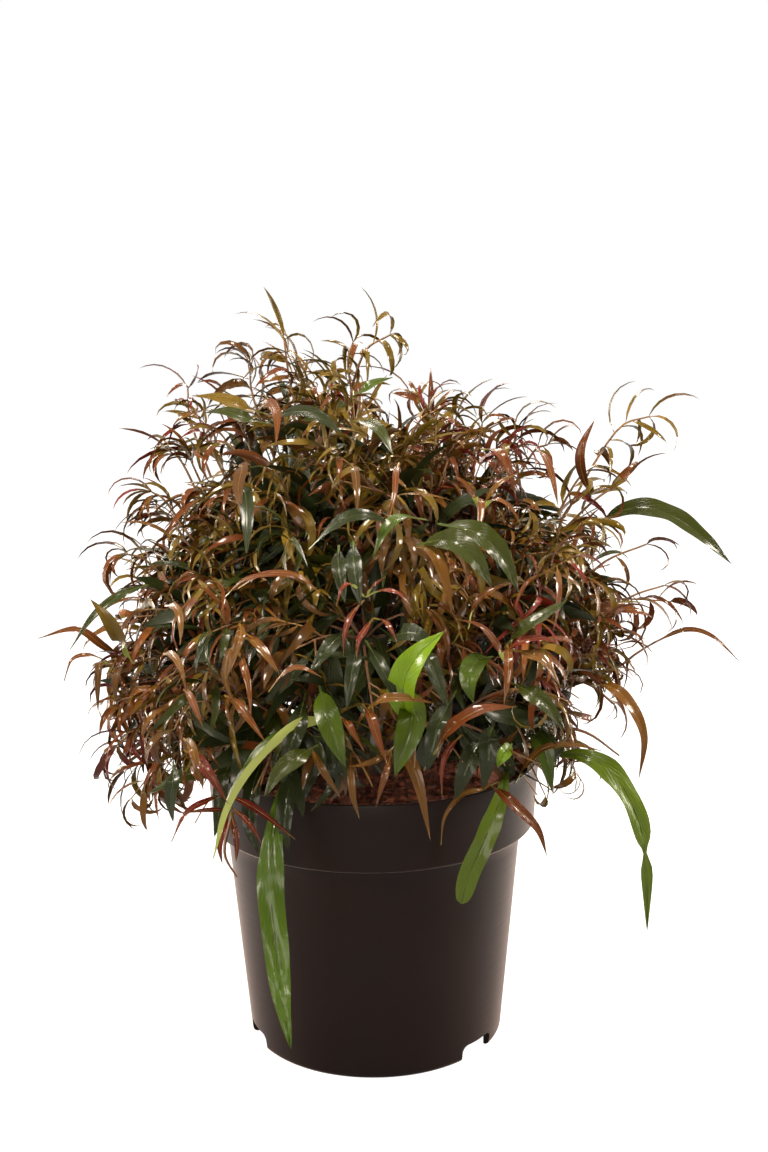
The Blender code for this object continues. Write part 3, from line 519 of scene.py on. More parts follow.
def add_ramp(tree, source, stops):
    ramp = tree.nodes.new("ShaderNodeValToRGB")
    while len(ramp.color_ramp.elements) < len(stops):
        ramp.color_ramp.elements.new(0.5)
    for element, (position, colour) in zip(ramp.color_ramp.elements, stops):
        element.position = position
        element.color = (*colour, 1.0)
    tree.links.new(source, ramp.inputs["Fac"])
    return ramp


def add_range(tree, source, low, high):
    """A value of 0 to 1 spread between low and high."""
    spread = tree.nodes.new("ShaderNodeMapRange")
    spread.inputs["To Min"].default_value = low
    spread.inputs["To Max"].default_value = high
    tree.links.new(source, spread.inputs["Value"])
    return spread


def add_bump(tree, shader, height, strength, distance):
    bump = tree.nodes.new("ShaderNodeBump")
    bump.inputs["Strength"].default_value = strength
    bump.inputs["Distance"].default_value = distance
    tree.links.new(height, bump.inputs["Height"])
    tree.links.new(bump.outputs["Normal"], shader.inputs["Normal"])
    return bump


def leaf_material(name, colour, roughness):
    """Leathery leaf: a plain colour and gloss, quilted between slanting veins and finely creased along its length.

    The slim young leaves have the sharper gloss.
    """
    broad = name.removesuffix("_leaf") in GREEN_TINTS
    material, tree, shader = new_material(name, colour, roughness)
    shader.inputs["Specular IOR Level"].default_value = 0.08
    shader.inputs["Coat Weight"].default_value = 0.25 if broad else 0.32
    shader.inputs["Coat Roughness"].default_value = 0.19 if broad else 0.11
    place = tree.nodes.new("ShaderNodeTexCoord")
    blade = tree.nodes.new("ShaderNodeSeparateXYZ")
    off_rib = tree.nodes.new("ShaderNodeMath")
    off_rib.operation = "ABSOLUTE"
    slant = tree.nodes.new("ShaderNodeMath")
    slant.operation = "MULTIPLY_ADD"
    slant.inputs[1].default_value = -1.1
    along = tree.nodes.new("ShaderNodeCombineXYZ")
    veins = tree.nodes.new("ShaderNodeTexWave")
    veins.inputs["Scale"].default_value = 1.0
    veins.inputs["Distortion"].default_value = 2.5
    veins.inputs["Detail"].default_value = 2.0
    veins.inputs["Detail Scale"].default_value = 2.0
    stretch = tree.nodes.new("ShaderNodeMapping")
    stretch.inputs["Scale"].default_value = (5.0, 2.2, 1.0)
    creases = tree.nodes.new("ShaderNodeTexNoise")
    creases.inputs["Scale"].default_value = 2.0
    creases.inputs["Detail"].default_value = 3.0
    height = tree.nodes.new("ShaderNodeMath")
    height.operation = "MULTIPLY_ADD"
    height.inputs[1].default_value = 0.30
    tree.links.new(place.outputs["UV"], blade.inputs["Vector"])
    tree.links.new(blade.outputs["X"], off_rib.inputs[0])
    tree.links.new(off_rib.outputs["Value"], slant.inputs[0])
    tree.links.new(blade.outputs["Y"], slant.inputs[2])
    tree.links.new(slant.outputs["Value"], along.inputs["X"])
    tree.links.new(off_rib.outputs["Value"], along.inputs["Y"])
    tree.links.new(along.outputs["Vector"], veins.inputs["Vector"])
    tree.links.new(place.outputs["UV"], stretch.inputs["Vector"])
    tree.links.new(stretch.outputs["Vector"], creases.inputs["Vector"])
    tree.links.new(veins.outputs["Fac"], height.inputs[0])
    tree.links.new(creases.outputs["Fac"], height.inputs[2])
    add_bump(tree, shader, height.outputs["Value"], 0.60, 0.0004)
    return material


def pot_material():
    """Dark brown moulded plastic with faint scuffs that run round it."""
    material, tree, shader = new_material("pot_plastic", (0.0052, 0.0014, 0.0010), 0.38)
    shader.inputs["Specular IOR Level"].default_value = 0.13
    shader.inputs["Sheen Weight"].default_value = 0.40
    shader.inputs["Sheen Roughness"].default_value = 0.30
    shader.inputs["Sheen Tint"].default_value = (1.0, 0.74, 0.66, 1.0)
    scuffs = add_noise(tree, 60.0, 6.0, (1.0, 1.0, 14.0))
    clouds = add_noise(tree, 16.0, 3.0)
    tone = add_ramp(tree, clouds.outputs["Fac"], [(0.3, (0.0043, 0.0012, 0.0008)), (0.7, (0.0061, 0.0017, 0.0012))])
    tree.links.new(tone.outputs["Color"], shader.inputs["Base Color"])
    spread = add_range(tree, scuffs.outputs["Fac"], 0.32, 0.48)
    tree.links.new(spread.outputs["Result"], shader.inputs["Roughness"])
    add_bump(tree, shader, scuffs.outputs["Fac"], 0.10, 0.0004)
    return material


def soil_material(name, dark, light):
    """Reddish coir and bark mix, darker and glossier in its hollows."""
    material, tree, shader = new_material(name, light, 0.9)
    crumbs = add_noise(tree, 260.0, 8.0)
    tone = add_ramp(tree, crumbs.outputs["Fac"], [(0.35, dark), (0.65, light)])
    tree.links.new(tone.outputs["Color"], shader.inputs["Base Color"])
    spread = add_range(tree, crumbs.outputs["Fac"], 0.70, 0.98)
    tree.links.new(spread.outputs["Result"], shader.inputs["Roughness"])
    add_bump(tree, shader, crumbs.outputs["Fac"], 0.8, 0.0012)
    return material


def bark_material(name, dark, light):
    """Thin bark, streaked along the stem."""
    material, tree, shader = new_material(name, light, 0.7)
    streaks = add_noise(tree, 420.0, 6.0, (1.0, 1.0, 0.25))
    tone = add_ramp(tree, streaks.outputs["Fac"], [(0.3, dark), (0.7, light)])
    tree.links.new(tone.outputs["Color"], shader.inputs["Base Color"])
    spread = add_range(tree, streaks.outputs["Fac"], 0.55, 0.85)
    tree.links.new(spread.outputs["Result"], shader.inputs["Roughness"])
    add_bump(tree, shader, streaks.outputs["Fac"], 0.5, 0.0005)
    return material


# Pot, soil and stool


def turned(name, profile, segments):
    """A ring extruded ring by ring along a profile of (radius, height). A radius of 0 closes it in a pole."""
    deselect()
    (radius, height), *rest = profile
    start_at_pole = radius == 0
    if start_at_pole:
        (radius, height), *rest = rest
    bpy.ops.mesh.primitive_circle_add(vertices=segments, radius=radius, location=(0, 0, height))
    obj = bpy.context.object
    obj.name = obj.data.name = name
    bpy.ops.object.transform_apply(location=True, rotation=True, scale=True)
    bpy.ops.object.mode_set(mode="EDIT")
    bpy.ops.mesh.select_all(action="SELECT")
    if start_at_pole:
        bpy.ops.mesh.extrude_region_move(TRANSFORM_OT_translate={"value": (0, 0, profile[0][1] - height)})
        bpy.ops.mesh.merge(type="CENTER")
        bpy.ops.mesh.select_mode(type="EDGE")
        bpy.ops.mesh.select_all(action="DESELECT")
        bpy.ops.mesh.select_non_manifold()
    for next_radius, next_height in rest:
        bpy.ops.mesh.extrude_region_move(TRANSFORM_OT_translate={"value": (0, 0, next_height - height)})
        if next_radius == 0:
            bpy.ops.mesh.merge(type="CENTER")
            break
        ratio = next_radius / radius
        bpy.ops.transform.resize(value=(ratio, ratio, 1.0))
        radius, height = next_radius, next_height
    bpy.ops.mesh.select_all(action="SELECT")
    bpy.ops.mesh.remove_doubles(threshold=1e-6)
    bpy.ops.mesh.normals_make_consistent(inside=False)
    bpy.ops.object.mode_set(mode="OBJECT")
    return obj


def turn_outwards(obj):
    """Flips a closed mesh whose faces point inwards."""
    mesh = bmesh.new()
    mesh.from_mesh(obj.data)
    if mesh.calc_volume(signed=True) < 0:
        bmesh.ops.reverse_faces(mesh, faces=mesh.faces)
        mesh.to_mesh(obj.data)
    mesh.free()


def arc(centre, radius, start, end, steps):
    """Points of a profile round a centre, between two angles in degrees."""
    points = []
    for k in range(steps + 1):
        angle = math.radians(start + (end - start) * k / steps)
        points.append((centre[0] + radius * math.cos(angle), centre[1] + radius * math.sin(angle)))
    return points


def between(start, end, steps):
    """Evenly spaced points of a straight run of a profile, without its ends."""
    return [
        (start[0] + (end[0] - start[0]) * k / steps, start[1] + (end[1] - start[1]) * k / steps)
        for k in range(1, steps)
    ]


def smooth_by_angle(obj, degrees):
    deselect()
    obj.select_set(True)
    bpy.context.view_layer.objects.active = obj
    bpy.ops.object.shade_smooth_by_angle(angle=math.radians(degrees))


def pot_profile():
    """The underside, foot, neck, collar, lip, inner wall and floor, from axis to axis."""
    skirt = BASE_RADIUS - 2 * WALL
    lip = WALL / 2
    neck = (NECK_RADIUS, COLLAR_FOOT_HEIGHT - 0.0006)
    foot = (BASE_RADIUS, BASE_ROUND)
    collar_low = (COLLAR_FOOT_RADIUS, COLLAR_FOOT_HEIGHT + COLLAR_ROUND)
    collar_top = (RIM_RADIUS, POT_HEIGHT - lip)
    step = COLLAR_FOOT_HEIGHT + WALL
    raised = CHANNEL_HEIGHT + FLOOR
    return [
        (0.0, 0.0),
        (CENTRE_DISC_RADIUS, 0.0),
        (CENTRE_DISC_RADIUS + CHANNEL_SLOPE, CHANNEL_HEIGHT),
        (skirt, CHANNEL_HEIGHT),
        (skirt, 0.0005),
        (skirt + 0.0005, 0.0),
        *arc((BASE_RADIUS - BASE_ROUND, BASE_ROUND), BASE_ROUND, -90, 0, 6),
        *between(foot, neck, 12),
        neck,
        (NECK_RADIUS + 0.0006, COLLAR_FOOT_HEIGHT),
        *arc((COLLAR_FOOT_RADIUS - COLLAR_ROUND, COLLAR_FOOT_HEIGHT + COLLAR_ROUND), COLLAR_ROUND, -90, -10, 6),
        collar_low,
        *between(collar_low, collar_top, 5),
        *arc((RIM_RADIUS - lip, POT_HEIGHT - lip), lip, 0, 180, 8),
        (COLLAR_FOOT_RADIUS - WALL, step + COLLAR_ROUND),
        (COLLAR_FOOT_RADIUS - WALL - COLLAR_ROUND, step),
        (NECK_RADIUS - WALL, step),
        (BASE_RADIUS - WALL, raised),
        (CENTRE_DISC_RADIUS + CHANNEL_SLOPE, raised),
        (CENTRE_DISC_RADIUS, FLOOR),
        (0.0, FLOOR),
    ]


def build_pot():
    pot = turned("nursery_pot", pot_profile(), POT_SEGMENTS)
    turn_outwards(pot)
    for k in range(NOTCH_COUNT):
        deselect()
        angle = math.radians(NOTCH_TURN + 360 * k / NOTCH_COUNT)
        away = BASE_RADIUS - WALL
        bpy.ops.mesh.primitive_cube_add(size=1, location=(away * math.cos(angle), away * math.sin(angle), 0))
        cutter = bpy.context.object
        cutter.rotation_euler = (0, 0, angle)
        cutter.scale = (2 * NOTCH_DEPTH, NOTCH_WIDTH, 2 * NOTCH_HEIGHT)
        bpy.ops.object.transform_apply(location=False, rotation=False, scale=True)
        rounding = cutter.modifiers.new("rounding", "BEVEL")
        rounding.width = NOTCH_CORNER
        rounding.segments = 5
        bpy.ops.object.modifier_apply(modifier=rounding.name)
        bpy.context.view_layer.objects.active = pot
        notch = pot.modifiers.new("foot_notch", "BOOLEAN")
        notch.operation = "DIFFERENCE"
        notch.object = cutter
        bpy.ops.object.modifier_apply(modifier=notch.name)
        bpy.data.objects.remove(cutter, do_unlink=True)
    smooth_by_angle(pot, 40)
    return finished(pot, "pot_plastic", pot_material(), "pot")


def soil_level(x, y):
    """Height of the lumpy soil here: it sinks a little towards the wall."""
    radius = math.hypot(x, y)
    rough = noise.fractal(Vector((x, y, 0.0)) * 90, 0.6, 2.2, 4) * SOIL_LUMP
    broad = noise.noise(Vector((x, y, 3.0)) * 25) * SOIL_LUMP
    stool = min(1.0, max(0.0, (radius - STOOL_FLARE_RADIUS) / 0.01))
    return SOIL_HEIGHT + (rough + broad) * stool - 0.002 * (radius / SOIL_RADIUS) ** 4


def build_soil():
    rings = []
    for k in range(SOIL_RINGS, 0, -1):
        rings.append((SOIL_RADIUS * k / SOIL_RINGS, SOIL_HEIGHT))
    inner = COLLAR_FOOT_RADIUS - WALL - 0.0004
    low = SOIL_HEIGHT - 0.012
    profile = [(0.0, low), (inner * 0.5, low), (inner, low), (SOIL_RADIUS - 0.0002, SOIL_HEIGHT - 0.004), *rings]
    soil = turned("soil_surface", [*profile, (0.0, SOIL_HEIGHT)], SOIL_SEGMENTS)
    turn_outwards(soil)
    for corner in soil.data.vertices:
        if corner.co.z > SOIL_HEIGHT - 0.001:
            corner.co.z = soil_level(corner.co.x, corner.co.y)
    smooth_by_angle(soil, 60)
    dark, light = (0.045, 0.012, 0.006), (0.230, 0.062, 0.028)
    return finished(soil, "soil", soil_material("coir_mix", dark, light), "soil")


def build_crumbs(rng):
    """Bark chips and coir crumbs: one knobbly chip, copied with its own size and turn."""
    deselect()
    bpy.ops.mesh.primitive_ico_sphere_add(subdivisions=1, radius=0.5)
    chip = bpy.context.object
    for corner in chip.data.vertices:
        corner.co *= 1 + 0.35 * noise.noise(corner.co * 4)
    corners = np.array([tuple(corner.co) for corner in chip.data.vertices])
    faces = np.array([tuple(face.vertices) for face in chip.data.polygons])
    bpy.data.objects.remove(chip, do_unlink=True)
    clouds = []
    for k in range(CRUMBS):
        radius = (SOIL_RADIUS - 0.003) * math.sqrt(rng.uniform(0.03, 1.0))
        turn = rng.uniform(0, math.tau)
        place = Vector((radius * math.cos(turn), radius * math.sin(turn), 0))
        size = 0.0011 + 0.0032 * rng.random() ** 3
        stretch = np.array([rng.uniform(0.8, 2.6), rng.uniform(0.6, 1.2), rng.uniform(0.3, 0.7)]) * size
        spin = Matrix.Rotation(rng.uniform(0, math.tau), 3, "Z") @ Matrix.Rotation(rng.gauss(0, 0.5), 3, "X")
        lift = soil_level(place.x, place.y) + 0.15 * size
        clouds.append((corners * stretch) @ np.array(spin).T + np.array([place.x, place.y, lift]))
    crumbs = joined("bark_crumbs", clouds, faces)
    dark, light = (0.070, 0.018, 0.009), (0.340, 0.096, 0.044)
    return finished(crumbs, "soil_crumb", soil_material("bark_chips", dark, light))


def joined(name, clouds, faces, smooth_below=50):
    """One mesh of many copies that share their faces' layout."""
    count = len(clouds[0])
    corners = np.concatenate(clouds)
    sides = faces.shape[1]
    everyone = (faces[None, :, :] + count * np.arange(len(clouds))[:, None, None]).reshape(-1, sides)
    return mesh_object(name, corners, [everyone], smooth_below)


def mesh_object(name, corners, face_groups, smooth_below=50):
    """An object from an array of corners and arrays of faces, each array with its own number of sides."""
    mesh = bpy.data.meshes.new(name)
    loops = np.concatenate([group.ravel() for group in face_groups]).astype(np.int32)
    sizes = np.concatenate([np.full(len(group), group.shape[1]) for group in face_groups])
    starts = np.concatenate([[0], np.cumsum(sizes)[:-1]]).astype(np.int32)
    mesh.vertices.add(len(corners))
    mesh.vertices.foreach_set("co", np.asarray(corners, np.float32).ravel())
    mesh.loops.add(len(loops))
    mesh.loops.foreach_set("vertex_index", loops)
    mesh.polygons.add(len(sizes))
    mesh.polygons.foreach_set("loop_start", starts)
    mesh.update(calc_edges=True)
    mesh.validate()
    mesh.shade_smooth()
    mesh.set_sharp_from_angle(angle=math.radians(smooth_below))
    obj = bpy.data.objects.new(name, mesh)
    bpy.context.scene.collection.objects.link(obj)
    return obj


# Limbs, as the part's source lays them out


def polar(azimuth, radius, height):
    angle = math.radians(azimuth)
    return Vector((radius * math.cos(angle), radius * math.sin(angle), height))


def bow(start, bend, end, steps):
    """Points from start to end on the curve that leaves towards bend."""
    points = []
    for k in range(steps + 1):
        t = k / steps
        points.append(start * (1 - t) ** 2 + bend * 2 * t * (1 - t) + end * t**2)
    return points


def route(foot, way, tip, steps):
    """Points from foot to tip on a curve that sets out along way, with a first short step straight along it."""
    start = foot + way * SETTING_OUT
    return [foot, *bow(start, start + way * (tip - start).length * 0.4, tip, steps)]


class Limb:
    """A tapering limb along a path."""

    def __init__(self, path, foot_radius, tip_radius):
        self.path = path
        self.foot_radius = foot_radius
        self.tip_radius = tip_radius

    def radius(self, share):
        return self.foot_radius + (self.tip_radius - self.foot_radius) * share

    def place(self, share):
        """The point and the way at a share of the path's steps."""
        steps = share * (len(self.path) - 1)
        k = min(int(steps), len(self.path) - 2)
        start, end = self.path[k], self.path[k + 1]
        return start.lerp(end, steps - k), (end - start).normalized()

    def beyond_tip(self):
        tip, way = self.place(1)
        return tip + way * GAP, way


def stool_shoulder(azimuth):
    """A point just off the stool's sloping shoulder, and the way that slope faces."""
    run = STOOL_WAIST_RADIUS - STOOL_TOP_RADIUS
    rise = STOOL_HEIGHT - STOOL_SHOULDER_HEIGHT
    flat = math.cos(math.pi / STOOL_SIDES)
    middle = (STOOL_WAIST_RADIUS + STOOL_TOP_RADIUS) / 2 * flat
    height = STOOL_GROUND + (STOOL_SHOULDER_HEIGHT + STOOL_HEIGHT) / 2
    way = polar(azimuth, rise, run * flat).normalized()
    return polar(azimuth, middle, height) + way * GAP, way


def side_foot(stem, share, radius, end):
    """Where a bough of this radius leaves the side of a stem for end."""
    point, along = stem.place(share)
    way = (end - point).normalized()
    lean = way.angle(along)
    off = (stem.radius(share) + GAP + radius * abs(math.cos(lean))) / math.sin(lean)
    return point + way * off, way


def mass_places():
    """Each foliage mass's node name, tier, middle and mouth."""
    places = []
    for tier, sizes in TIERS.items():
        for k in range(sizes["count"]):
            azimuth = sizes["turn"] + 360 * k / sizes["count"]
            name = f"foliage_{tier}" if sizes["count"] == 1 else f"foliage_{tier}_{k + 1}"
            place = {"name": name, "tier": tier, "middle": polar(azimuth, sizes["radius"], sizes["height"])}
            place["mouth"] = polar(azimuth, *sizes["mouth"])
            places.append(place)
    return places


def grow_limbs(places):
    """The stems and the boughs, by node name. Each place gets its bough."""
    stems = {}
    boughs = {}

    def add_bough(place, name, foot, way):
        path = route(foot, way, place["mouth"], LIMB_STEPS)
        place["bough"] = boughs[name] = Limb(path, BOUGH_FOOT_RADIUS, BOUGH_TIP_RADIUS)

    def tier(name):
        return [place for place in places if place["tier"] == name]

    foot = Vector((0, 0, STOOL_GROUND + STOOL_HEIGHT + GAP))
    path = bow(foot, foot.lerp(LEADER_TIP, 0.5) + LEADER_BOW, LEADER_TIP, LIMB_STEPS)
    leader = stems["stem_leader"] = Limb(path, LEADER_FOOT_RADIUS, LEADER_TIP_RADIUS)
    add_bough(tier("top")[0], "bough_top", *leader.beyond_tip())
    upper = tier("upper")
    for k, place in enumerate(upper):
        order = k * 2 % len(upper)
        share = UPPER_BOUGH_FROM + (UPPER_BOUGH_TO - UPPER_BOUGH_FROM) * order / (len(upper) - 1)
        add_bough(place, f"bough_upper_{k + 1}", *side_foot(leader, share, BOUGH_FOOT_RADIUS, place["mouth"]))
    first_turn = (TIERS["middle"]["turn"] + TIERS["lower"]["turn"]) / 2
    for k, (middle, lower) in enumerate(zip(tier("middle"), tier("lower"))):
        azimuth = first_turn + 360 * k / OUTER_STEMS
        foot, way = stool_shoulder(azimuth)
        path = route(foot, way, polar(azimuth, OUTER_STEM_REACH, OUTER_STEM_HEIGHT), LIMB_STEPS)
        stem = stems[f"stem_{k + 1}"] = Limb(path, STEM_FOOT_RADIUS, STEM_TIP_RADIUS)
        add_bough(middle, f"bough_middle_{k + 1}", *stem.beyond_tip())
        add_bough(lower, f"bough_lower_{k + 1}", *side_foot(stem, SIDE_BOUGH_FROM, BOUGH_FOOT_RADIUS, lower["mouth"]))
    return stems, boughs


def frames_along(points):
    """Ways, sides and across vectors along an array of points, with sides that don't twist."""
    ways = np.gradient(points, axis=0)
    ways /= np.linalg.norm(ways, axis=1)[:, None]
    side = np.cross(ways[0], [0.31, 0.17, 0.93])
    sides = np.empty_like(ways)
    for k, way in enumerate(ways):
        side = side - way * side.dot(way)
        side /= np.linalg.norm(side)
        sides[k] = side
    return ways, sides, np.cross(ways, sides)


def tube(points, radii, sides, relief=None):
    """(corners, quads, triangles) of a closed tube, whose radii may have their own relief."""
    points = np.array([tuple(point) for point in points])
    ways, side, across = frames_along(points)
    angles = np.arange(sides) * math.tau / sides
    spokes = side[:, None] * np.cos(angles)[None, :, None] + across[:, None] * np.sin(angles)[None, :, None]
    reach = np.repeat(np.asarray(radii)[:, None], sides, axis=1)
    if relief is not None:
        reach = reach * (1 + relief)
    rings = points[:, None] + spokes * reach[..., None]
    count = len(points)
    corners = np.concatenate([rings.reshape(-1, 3), points[:1], points[-1:]])
    k = np.arange(count - 1)[:, None] * sides
    j = np.arange(sides)[None, :]
    after = (j + 1) % sides
    quads = np.stack([k + j, k + after, k + sides + after, k + sides + j], axis=-1).reshape(-1, 4)
    foot, tip, last = count * sides, count * sides + 1, (count - 1) * sides
    spread = np.arange(sides)
    turned_on = (spread + 1) % sides
    ends = np.concatenate([
        np.stack([np.full(sides, foot), turned_on, spread], axis=-1),
        np.stack([np.full(sides, tip), last + spread, last + turned_on], axis=-1),
    ])
    return corners, quads, ends


def join_tubes(name, tubes):
    corners = []
    quads = []
    triangles = []
    start = 0
    for points, faces, ends in tubes:
        corners.append(points)
        quads.append(faces + start)
        triangles.append(ends + start)
        start += len(points)
    return mesh_object(name, np.concatenate(corners), [np.concatenate(quads), np.concatenate(triangles)])


def bark_relief(limb, sides, seed):
    """Shallow ridges along a limb and a swelling at each old leaf's scar, as shares of the radius."""
    relief = np.zeros((len(limb.path), sides))
    walked = 0.0
    for k, point in enumerate(limb.path):
        if k:
            walked += (point - limb.path[k - 1]).length
        swelling = 0.16 * max(0.0, math.cos(walked / BARK_NODE_SPACING * math.tau)) ** 6
        for j in range(sides):
            angle = j * math.tau / sides
            ridge = noise.noise(Vector((math.cos(angle) * 1.8, math.sin(angle) * 1.8, walked * 90 + seed * 7)))
            relief[k, j] = ridge * BARK_RELIEF + swelling
    return relief


def build_limb_pieces(stems, boughs):
    bark = bark_material("stem_bark", (0.028, 0.013, 0.008), (0.120, 0.058, 0.034))
    for name, limbs in (("barky_stems", stems), ("barky_boughs", boughs)):
        tubes = []
        for seed, limb in enumerate(limbs.values()):
            shares = np.linspace(0, 1, len(limb.path))
            radii = [limb.radius(share) * 0.95 for share in shares]
            tubes.append(tube(limb.path, radii, LIMB_SIDES, bark_relief(limb, LIMB_SIDES, seed)))
        finished(join_tubes(name, tubes), "bark", bark, *limbs)
    return bark


def build_stool(bark):
    """The short woody base, gnarled where the stems leave it."""
    profile = [
        (0.0, 0.0),
        (STOOL_FLARE_RADIUS, 0.0),
        *between((STOOL_FLARE_RADIUS, 0.0), (STOOL_WAIST_RADIUS, STOOL_FLARE_HEIGHT), 5),
        *between((STOOL_WAIST_RADIUS, STOOL_FLARE_HEIGHT), (STOOL_WAIST_RADIUS, STOOL_SHOULDER_HEIGHT), 5),
        *between((STOOL_WAIST_RADIUS, STOOL_SHOULDER_HEIGHT), (STOOL_TOP_RADIUS, STOOL_HEIGHT), 6),
        (STOOL_TOP_RADIUS, STOOL_HEIGHT),
        (0.0, STOOL_HEIGHT),
    ]
    lifted = [(radius, height + STOOL_GROUND) for radius, height in profile]
    stool = turned("woody_base", lifted, 64)
    turn_outwards(stool)
    for corner in stool.data.vertices:
        if corner.co.z > STOOL_GROUND + 0.0001:
            grain = Vector((corner.co.x * 300, corner.co.y * 300, corner.co.z * 90))
            ratio = 1 + 0.06 * noise.noise(grain) - 0.03
            corner.co.x *= ratio
            corner.co.y *= ratio
    smooth_by_angle(stool, 60)
    return finished(stool, "bark", bark, "stem_base")


# Growing the crown


def skirt_height(point):
    """How low the shoots end here: they stop higher at the front, where the soil shows."""
    front = max(0.0, -point.y) / max(point.xy.length, GAP)
    return SKIRT_HEIGHT + FRONT_SKIRT_LIFT * front**3


def towards(azimuth, height):
    """The way to a place on the dome, from angles in degrees."""
    lift = math.radians(height)
    return polar(azimuth, math.cos(lift), math.sin(lift))


def crown_surface(way):
    """The dome's surface in this direction from its heart, with its hollows and swellings."""
    tall = CROWN_UP if way.z > 0 else CROWN_DOWN
    reach = 1 / math.hypot(way.xy.length / CROWN_SIDE, way.z / tall)
    for azimuth, height, width, gain in SWELLINGS:
        off = math.degrees(way.angle(towards(azimuth, height))) / width
        reach *= 1 + gain * math.exp(-(off**2))
    return HEART + way * reach


def shoot_ends(rng, places):
    """Evenly spread ends for the shoots inside the dome's surface, each dealt to the nearest mass."""
    ends = {place["name"]: [] for place in places}
    for k in range(SHOOTS):
        height = 1 - 2 * ((k + 0.5) / SHOOTS) ** TOWARDS_TOP
        turn = k * GOLDEN_TURN
        flat = math.sqrt(1 - height**2)
        way = Vector((flat * math.cos(turn), flat * math.sin(turn), height))
        surface = crown_surface(way)
        end = HEART + (surface - HEART) * (SHORTEST_TWIG + (LONGEST_TWIG - SHORTEST_TWIG) * rng.random() ** 0.8)
        if surface.z < skirt_height(surface):
            continue
        nearest = min(places, key=lambda place: (place["middle"] - end).length)
        ends[nearest["name"]].append(end)
    return ends


def nearest_share(carrier, point):
    shares = [0.25 + 0.70 * k / 12 for k in range(13)]
    return min(shares, key=lambda share: (carrier.place(share)[0] - point).length)


def pick(rng, deal):
    names = list(deal)
    return rng.choices(names, [deal[name] for name in names])[0]


def mood_at(rng, point):
    """The mood of the patch nearest to this point, with ragged borders between patches."""
    way = (point - HEART).normalized()
    ragged = way + Vector([rng.gauss(0, RAGGED_BORDER) for _ in range(3)])
    return MOODS[max(PATCHES, key=lambda patch: towards(patch[0], patch[1]).dot(ragged))[2]]


class Crown:
    """Collects the twigs and the leaves of the whole plant as they grow."""

    def __init__(self):
        self.twigs = {}
        self.leaves = {}

    def twig(self, tier, path, foot_radius, tip_radius, sides=5, skin="brown"):
        radii = np.linspace(foot_radius, tip_radius, len(path))
        self.twigs.setdefault((tier, skin), []).append(tube(path, radii, sides))

    def leaf(self, rng, tier, kind, tint, point, way, scale=1.0):
        """One leaf from a point on a twig, setting out along way. Its upper side faces up and off the plant."""
        sizes = LEAF_KINDS[kind]
        length = rng.uniform(*sizes["length"]) * scale
        slimmest, widest = sizes["width"]
        width = (slimmest + (widest - slimmest) * rng.random() ** 1.6) * scale
        bend = math.radians(rng.uniform(*sizes["arch"]))
        outward = (point - HEART).normalized()
        level = UP - outward * way.z * 1.2
        level -= way * way.dot(level)
        level = level.normalized() if level.length > 0.08 else way.orthogonal().normalized()
        face = Matrix.Rotation(rng.gauss(0, 0.45), 3, way) @ level
        row = (
            *(point - way * LEAF_ROOT), *way, *face,
            length, width, bend, rng.gauss(0, 0.40), rng.gauss(0, 0.6), sizes["fold"] * rng.uniform(0.5, 1.2),
        )
        near_stalk = rng.choice(TINTS_NEAR_STALK.get(tint, (tint,)))
        self.leaves.setdefault((tier, kind in BROAD_KINDS), []).append((row, tint, near_stalk))


def spread_way(along, turn, spread):
    out = Matrix.Rotation(turn, 3, along) @ along.orthogonal().normalized()
    return (along * math.cos(spread) + out * math.sin(spread)).normalized()


def grow_spray(rng, crown, tier, foot, along, length, kind, mood):
    """A young shoot that sets out along a way and arches over."""
    fall = UP * -rng.uniform(-0.15, 0.50)
    tip = foot + (along + fall * 0.6).normalized() * length
    path = bow(foot, foot + along * length * 0.55, tip, 5)
    if keeps_clear(np.array([[tuple(point) for point in path]]))[0]:
        leafy_shoot(rng, crown, tier, path, kind, mood)


def leafy_shoot(rng, crown, tier, path, kind, mood):
    """Leaves by golden turn along a shoot, which shrink towards the whorl at its tip."""
    deal = BROAD_DEALS.get(kind, mood["tints"])
    tint = pick(rng, deal)
    crown.twig(tier, path, TWIG_TIP_RADIUS * 1.2, TWIG_TIP_RADIUS * 0.7, 4, "golden")
    limb = Limb(path, TWIG_TIP_RADIUS, TWIG_TIP_RADIUS)
    turn = rng.uniform(0, math.tau)
    length = (path[-1] - path[0]).length
    leaves = max(2, round(length / LEAF_KINDS[kind]["spacing"]))
    for k in range(leaves):
        point, way = limb.place(0.12 + 0.8 * k / leaves)
        shade = tint if rng.random() < 0.75 else pick(rng, deal)
        out = spread_way(way, turn + k * GOLDEN_TURN, rng.uniform(0.7, 1.25))
        crown.leaf(rng, tier, kind, shade, point, out, 1.08 - 0.3 * k / leaves)
    point, way = limb.place(1)
    whorl = rng.randint(3, 5)
    for k in range(whorl):
        shade = tint if rng.random() < 0.75 else pick(rng, deal)
        out = spread_way(way, turn + math.tau * k / whorl + rng.uniform(-0.3, 0.3), rng.uniform(0.3, 1.0))
        crown.leaf(rng, tier, kind, shade, point, out, 0.78)


